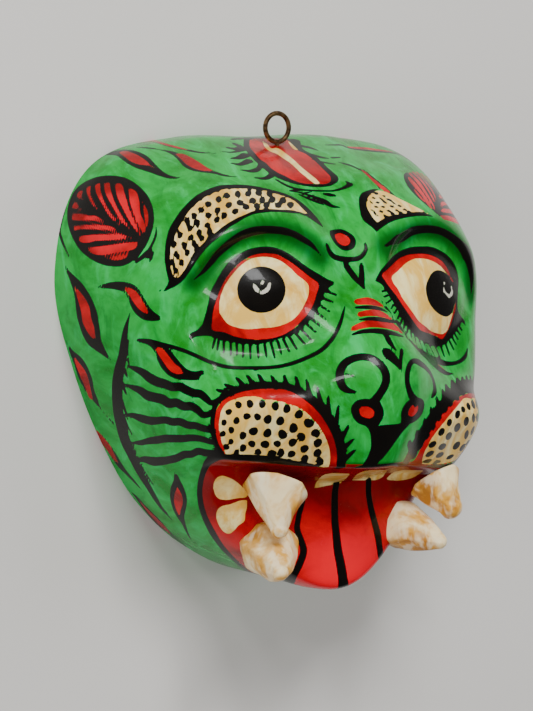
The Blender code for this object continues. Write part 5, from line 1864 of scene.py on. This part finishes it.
def painted_lacquer():
    """Green lacquer with red, cream and black brush work, painted shade in the eye hollows and the mouth, and a
    painted highlight on the pupils.
    """
    finish = Finish("painted_lacquer")
    red, cream, black = finish.field("paint_areas")
    strokes = finish.stroke("lines_one").math("MINIMUM", finish.stroke("lines_two"))
    # Painted highlight (glint), the paint's own brighter red (rosy) and painted shade (shade).
    glint, rosy, shade = finish.field("tone_and_painted_light")
    wobble = (finish.noise(420.0, 2.0) - 0.5) * 0.34
    soft = 0.10
    is_red = (red + wobble).below(0.22, soft)
    is_cream = (cream + wobble).below(0.08, soft)
    is_black = (black + wobble).below(0.0, soft).math("MAXIMUM", (strokes + wobble).below(0.0, soft))
    # Painted highlight on the pupils
    is_glint = (glint + wobble * 0.5).below(0.0, soft)

    blotch = finish.noise(46.0, 5.0, 0.62, (1.0, 1.0, 0.7), 0.8)
    streak = finish.noise(85.0, 4.0, 0.6, (1.0, 0.35, 0.6), 1.4)
    fine = finish.noise(600.0, 4.0, 0.7)
    green = finish.mix(blotch.above(0.52, 0.16), (0.0, 0.40, 0.050), (0.0, 0.22, 0.012))
    green = finish.mix(streak.above(0.63, 0.12) * 0.6, green, (0.0, 0.60, 0.14))
    green = finish.mix(streak.below(0.38, 0.10) * 0.6, green, (0.0, 0.13, 0.006))
    # Painted shade: darker green in the eye hollows and at the top of the mouth.
    green = finish.mix(shade * 0.9, green, (0.0, 0.060, 0.002))
    crimson = finish.mix(blotch.above(0.50, 0.14), (0.58, 0.0, 0.004), (0.25, 0.0, 0.001))
    crimson = finish.mix(rosy * 0.9, crimson, (0.80, 0.0, 0.014))
    # Painted shade darkens the red, most of all under the upper lip.
    crimson = finish.mix(shade * 0.75, crimson, (0.20, 0.0, 0.001))
    ivory = finish.mix(streak.above(0.47, 0.14), (0.94, 0.78, 0.35), (0.80, 0.48, 0.09))
    ivory = finish.mix(blotch.above(0.57, 0.10) * 0.6, ivory, (0.62, 0.30, 0.025))
    ink = finish.mix(blotch, (0.0016, 0.0016, 0.0018), (0.006, 0.0045, 0.003))
    spark = finish.mix(blotch, (0.70, 0.66, 0.55), (0.45, 0.42, 0.34))

    colour = finish.mix(is_red, green, crimson)
    colour = finish.mix(is_cream, colour, ivory)
    colour = finish.mix(is_black, colour, ink)
    colour = finish.mix(is_glint, colour, spark)
    rough = 0.17 + blotch * 0.12 + fine * 0.05
    lift = streak * 0.50 + fine * 0.10 + is_black * 0.22 + is_cream * 0.18
    finish.set(
        Base_Color=colour, Roughness=rough, Normal=finish.bump(lift, 0.00035, 0.55),
        Coat_Weight=0.22, Coat_Roughness=0.05, Coat_IOR=1.38, Specular_IOR_Level=0.12,
    )
    return finish.material


def bare_wood():
    """Bare light wood of the rim and the hollow, with gouge marks."""
    finish = Finish("bare_wood")
    grain = finish.noise(120.0, 5.0, 0.6, (1.0, 0.08, 1.0), 0.6)
    pores = finish.noise(900.0, 3.0, 0.6, (1.0, 0.10, 1.0))
    gouge = finish.noise(75.0, 1.5, 0.4, (1.0, 0.45, 0.8), 0.4)
    colour = finish.mix(grain, (0.36, 0.215, 0.105), (0.52, 0.34, 0.18))
    colour = finish.mix(pores.above(0.62, 0.08) * 0.6, colour, (0.20, 0.11, 0.05))
    finish.set(
        Base_Color=colour, Roughness=0.62 + grain * 0.18,
        Normal=finish.bump(gouge * 0.8 + grain * 0.15 + pores * 0.05, 0.0016, 0.6),
    )
    return finish.material


def fang_ivory():
    """Glossy ivory paint with ochre stains."""
    finish = Finish("fang_ivory")
    stain = finish.noise(48.0, 4.0, 0.6, (1.0, 0.8, 0.9), 0.5)
    wash = finish.noise(150.0, 3.0, 0.55, (1.0, 0.45, 1.0), 0.3)
    lumps = finish.noise(70.0, 2.0, 0.45)
    colour = finish.mix(stain.above(0.48, 0.09), (0.93, 0.75, 0.42), (0.68, 0.34, 0.05))
    colour = finish.mix(stain.above(0.60, 0.05) * 0.8, colour, (0.38, 0.14, 0.015))
    colour = finish.mix(wash.above(0.56, 0.08) * 0.6, colour, (0.95, 0.84, 0.58))
    finish.set(
        Base_Color=colour, Roughness=0.24 + wash * 0.18,
        Normal=finish.bump(lumps * 0.75 + wash * 0.25, 0.0014, 0.8),
        Coat_Weight=0.16, Coat_Roughness=0.12, Coat_IOR=1.35, Specular_IOR_Level=0.15,
    )
    return finish.material


def aged_brass():
    """Dark worn brass wire."""
    finish = Finish("aged_brass")
    worn = finish.noise(420.0, 4.0, 0.6)
    colour = finish.mix(worn.above(0.52, 0.14), (0.085, 0.045, 0.022), (0.28, 0.17, 0.075))
    finish.set(
        Base_Color=colour, Roughness=0.34 + worn * 0.25, Metallic=0.9,
        Normal=finish.bump(worn, 0.00012, 0.5),
    )
    return finish.material


def pale_floor():
    """Plain pale floor."""
    finish = Finish("pale_floor")
    cloud = finish.noise(3.0, 2.0)
    colour = finish.mix(cloud, (0.62, 0.60, 0.57), (0.66, 0.64, 0.61))
    finish.set(Base_Color=colour, Roughness=0.75)
    return finish.material


def turned(corner):
    """Angle of a rim corner from the crown."""
    return math.atan2(corner.co.x, corner.co.y + MIDDLE_ABOVE_CENTRE)


def close_rim(mesh, outer, inner):
    """Flat ring of triangles between the outer and the inner rim."""
    outer = sorted(outer, key=turned)
    inner = sorted(inner, key=turned)
    a = b = 0
    while a < len(outer) or b < len(inner):
        next_outer = turned(outer[a + 1]) if a + 1 < len(outer) else math.pi + a / len(outer)
        next_inner = turned(inner[b + 1]) if b + 1 < len(inner) else math.pi + b / len(inner)
        here = outer[a % len(outer)], inner[b % len(inner)]
        if b >= len(inner) or (a < len(outer) and next_outer <= next_inner):
            mesh.faces.new((*here, outer[(a + 1) % len(outer)]))
            a += 1
        else:
            mesh.faces.new((*here, inner[(b + 1) % len(inner)]))
            b += 1


def new_object(name, mesh, materials, sharp_degrees):
    """Object of a bmesh with outward faces and smooth shading."""
    bmesh.ops.recalc_face_normals(mesh, faces=mesh.faces)
    data = bpy.data.meshes.new(name)
    mesh.to_mesh(data)
    mesh.free()
    for material in materials:
        data.materials.append(material)
    data.polygons.foreach_set("use_smooth", np.ones(len(data.polygons), bool))
    data.set_sharp_from_angle(angle=math.radians(sharp_degrees))
    piece = bpy.data.objects.new(name, data)
    bpy.context.scene.collection.objects.link(piece)
    return piece


def hand_over(piece, node):
    """Let a piece stand for a node: hang it on the root and hide the node."""
    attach(piece, "root")
    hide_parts(node)
    log.info("%s: %d faces", piece.name, len(piece.data.polygons))


@dataclass
class CarvedFace:
    """Hollow mask body with its painted front."""

    form: FaceForm
    camera: PhotoCamera

    def shell(self):
        """Closed mesh of the front, the hollow and the rim, and the disc places of the front."""
        mesh, places = FaceGrid(self.form, FRONT_GRID, PALATE_STRIPS).build(self.form.point)
        inside, _ = FaceGrid(self.form, HOLLOW_GRID, 3).build(self.form.inside)
        free = [corner for corner in inside.verts if not corner.is_boundary]
        for _ in range(HOLLOW_EASING):
            bmesh.ops.smooth_vert(
                inside, verts=free, factor=0.5, use_axis_x=True, use_axis_y=True, use_axis_z=True,
            )
        spare = bpy.data.meshes.new("hollow")
        inside.to_mesh(spare)
        inside.free()
        mesh.from_mesh(spare)
        bpy.data.meshes.remove(spare)
        mesh.verts.ensure_lookup_table()
        rims = [
            [corner for corner in part if corner.is_boundary]
            for part in (mesh.verts[: len(places)], mesh.verts[len(places):])
        ]
        front = {face for corner in mesh.verts[: len(places)] for face in corner.link_faces}
        for face in mesh.faces:
            face.material_index = 0 if face in front else 1
        close_rim(mesh, *rims)
        for corner in rims[0]:
            for face in corner.link_faces:
                if face not in front:
                    face.material_index = 1
        return mesh, places

    def make(self):
        """Build the shell and paint it."""
        mesh, places = self.shell()
        piece = new_object("carved_face", mesh, (painted_lacquer(), bare_wood()), 48)
        self.paint(piece, places)
        hand_over(piece, "mask_body")
        return piece

    def paint(self, piece: bpy.types.Object, places: np.ndarray) -> None:
        """Paint the front corners and keep the fields on the mesh.

        Args:
            piece: the mask body.
            places: disc places of its front corners.
        """
        data = piece.data
        points = np.empty(len(data.vertices) * 3)
        normals = np.empty(len(data.vertices) * 3)
        data.vertices.foreach_get("co", points)
        data.vertices.foreach_get("normal", normals)
        count = len(places)
        faces = np.array([face.vertices for face in data.polygons if max(face.vertices) < count])
        painter = FacePainter(
            self.camera, points.reshape(-1, 3)[:count], normals.reshape(-1, 3)[:count], places, faces,
        )
        PaintScheme(painter, self.form).paint()
        areas = painter.areas
        self.keep(data, "paint_areas", areas[Colour.RED], areas[Colour.CREAM], areas[Colour.BLACK])
        for layer, name in zip(painter.lines, ("lines_one", "lines_two")):
            self.keep(data, name, layer["side"], layer["half"], layer["gap"])
        # Painted highlight, brighter red and painted shade at each corner.
        self.keep(data, "tone_and_painted_light", areas[Colour.GLINT], painter.rosy, painter.shade)

    def keep(self, data, name, *values):
        """Store three numbers per corner under a name."""
        field_ = np.full((len(data.vertices), 3), FAR, dtype=np.float32)
        field_[: len(values[0])] = np.clip(np.stack(values, axis=-1), -FAR, FAR)
        layer = data.attributes.new(name, "FLOAT_VECTOR", "POINT")
        layer.data.foreach_set("vector", field_.ravel())


@dataclass
class Fang:
    """Blunt lumpy wooden tooth set into the mouth."""

    name: str
    root: tuple
    tip: tuple
    root_radius: float
    tip_radius: float
    foot: float
    lean: float
    taper: float

    def make(self, material: bpy.types.Material) -> None:
        """Build the fang on its axis.

        Args:
            material: its finish.
        """
        mesh = bmesh.new()
        bmesh.ops.create_uvsphere(mesh, u_segments=FANG_SIDES, v_segments=FANG_RINGS, radius=1.0)
        start = Vector(self.root)
        axis = Vector(self.tip) - start
        turn = axis.to_track_quat("Z", "Y").to_matrix()
        right = turn.transposed() @ Vector((1.0, 0.0, 0.0))
        for corner in mesh.verts:
            corner.co = self.shape(corner.co, axis.length, right)
        place = Matrix.Translation(start - Vector((0, MIDDLE_ABOVE_CENTRE, 0))) @ turn.to_4x4()
        bmesh.ops.transform(mesh, matrix=place, verts=mesh.verts)
        piece = new_object(self.name + "_painted", mesh, (material,), 70)
        hand_over(piece, self.name)

    def profile(self, share: float, length: float) -> tuple:
        """Width and place along the axis: flat root end, tapering side and round tip.

        Args:
            share: from 0 at the middle of the root end to 1 at the tip.
            length: from the root to the middle of the tip's ball.

        Returns:
            The width and the place along the axis.
        """
        edge = FANG_ROOT_EDGE
        if share < 0.12:
            return (self.root_radius - edge) * share / 0.12, -self.foot
        if share < 0.24:
            turn = (share - 0.12) / 0.12 * math.pi / 2
            return self.root_radius - edge * (1 - math.sin(turn)), edge * (1 - math.cos(turn)) - self.foot
        if share < 0.76:
            along = edge - self.foot + (length + self.foot - edge) * (share - 0.24) / 0.52
            left = max(1 - max(along, 0.0) / length, 0.0)
            return self.tip_radius + (self.root_radius - self.tip_radius) * left ** self.taper, along
        turn = (share - 0.76) / 0.24 * math.pi / 2
        return self.tip_radius * math.cos(turn), length + self.tip_radius * math.sin(turn)

    def shape(self, on_sphere: Vector, length: float, right: Vector) -> Vector:
        """Move a point of the unit sphere onto the fang.

        Args:
            on_sphere: the point.
            length: from the root to the middle of the tip's ball.
            right: direction to the right across the fang.

        Returns:
            The point in the fang's own axes.
        """
        share = 0.5 + math.asin(max(-1.0, min(1.0, on_sphere.z))) / math.pi
        angle = math.atan2(on_sphere.y, on_sphere.x)
        width, along = self.profile(share, length)
        depth = along / length
        lump = 1 + 0.03 * math.sin(3 * angle + 5 * depth) + 0.015 * math.sin(5 * angle - 9 * depth)
        turn = (angle + 0.5 * depth + len(self.name)) % (math.tau / FANG_CUTS) - math.pi / FANG_CUTS
        facet = 0.6 * (math.cos(math.pi / FANG_CUTS) / math.cos(turn) - 0.95)
        place = Vector((math.cos(angle), math.sin(angle), 0.0)) * width * (lump + facet)
        along += self.lean * place.dot(right) * max(0.0, 1 - depth)
        return place + Vector((0.0, 0.0, along))


@dataclass
class ScrewEye:
    """Wire ring on a short shank at the crown."""

    form: FaceForm

    def make(self, material):
        """Build the ring and its shank as one piece."""
        base = self.form.crown_y() - MIDDLE_ABOVE_CENTRE
        middle = base + RING_LIFT + WIRE_RADIUS + RING_RADIUS
        mesh = bmesh.new()
        wire = bmesh.ops.create_circle(
            mesh, segments=24, radius=WIRE_RADIUS,
            matrix=Matrix.Translation((RING_RADIUS, 0, 0)) @ Matrix.Rotation(math.pi / 2, 4, "X"),
        )["verts"]
        bmesh.ops.spin(
            mesh, geom=wire + list(mesh.edges), cent=(0, 0, 0), axis=(0, 0, 1), dvec=(0, 0, 0),
            angle=2 * math.pi, steps=96, use_merge=True, use_duplicate=False,
        )
        bmesh.ops.translate(mesh, verts=mesh.verts, vec=(0, middle, RING_HEIGHT))
        top = base + RING_LIFT + WIRE_RADIUS
        low = base - SHANK_LENGTH
        bmesh.ops.create_cone(
            mesh, cap_ends=True, segments=24, radius1=WIRE_RADIUS * 0.97, radius2=WIRE_RADIUS * 0.97,
            depth=top - low,
            matrix=Matrix.Translation((0, (top + low) / 2, RING_HEIGHT)) @ Matrix.Rotation(math.pi / 2, 4, "X"),
        )
        piece = new_object("screw_eye_wire", mesh, (material,), 50)
        hand_over(piece, "screw_eye")


@dataclass(frozen=True)
class SoftLight:
    """Area light aimed at the mask."""

    name: str
    place: tuple
    size: float
    power: float
    gloss: bool

    def make(self) -> None:
        """Create the light."""
        data = bpy.data.lights.new(self.name, "AREA")
        data.shape = "SQUARE"
        data.size = self.size
        data.energy = self.power
        light = bpy.data.objects.new(self.name, data)
        bpy.context.scene.collection.objects.link(light)
        light.location = self.place
        light.visible_glossy = self.gloss
        aim = Vector((0, 0, 0.06)) - Vector(self.place)
        light.rotation_euler = aim.to_track_quat("-Z", "Y").to_euler()


@dataclass
class Studio:
    """Pale floor, soft light and a dim surround."""

    lights: tuple = (
        SoftLight("crown_light", (-0.55, 1.55, 1.75), 0.9, 44.0, False),
        SoftLight("fill_light", (-1.9, -0.6, 1.5), 1.8, 34.0, False),
        SoftLight("right_light", (1.7, 0.3, 1.3), 1.3, 16.0, False),
        SoftLight("crown_gleam", (-0.1, 1.5, 1.6), 0.4, 14.0, True),
        SoftLight("side_gleam", (-1.2, 0.9, 1.9), 0.2, 5.0, True),
    )

    def make(self):
        """Create the floor, lights and surround."""
        mesh = bmesh.new()
        bmesh.ops.create_grid(mesh, x_segments=4, y_segments=4, size=4.0)
        floor = new_object("floor", mesh, (pale_floor(),), 30)
        for light in self.lights:
            light.make()
        world = bpy.data.worlds.new("surround")
        world.use_nodes = True
        background = world.node_tree.nodes["Background"]
        background.inputs["Color"].default_value = (0.95, 0.97, 1.0, 1.0)
        background.inputs["Strength"].default_value = 0.12
        bpy.context.scene.world = world


def main():
    """Build the scene in order."""
    camera = PhotoCamera()
    camera.make()
    form = FaceForm()
    CarvedFace(form, camera).make()
    ivory = fang_ivory()
    for name, sizes in FANGS.items():
        Fang(name, **sizes).make(ivory)
    ScrewEye(form).make(aged_brass())
    Studio().make()


if __name__ == "__main__":
    main()
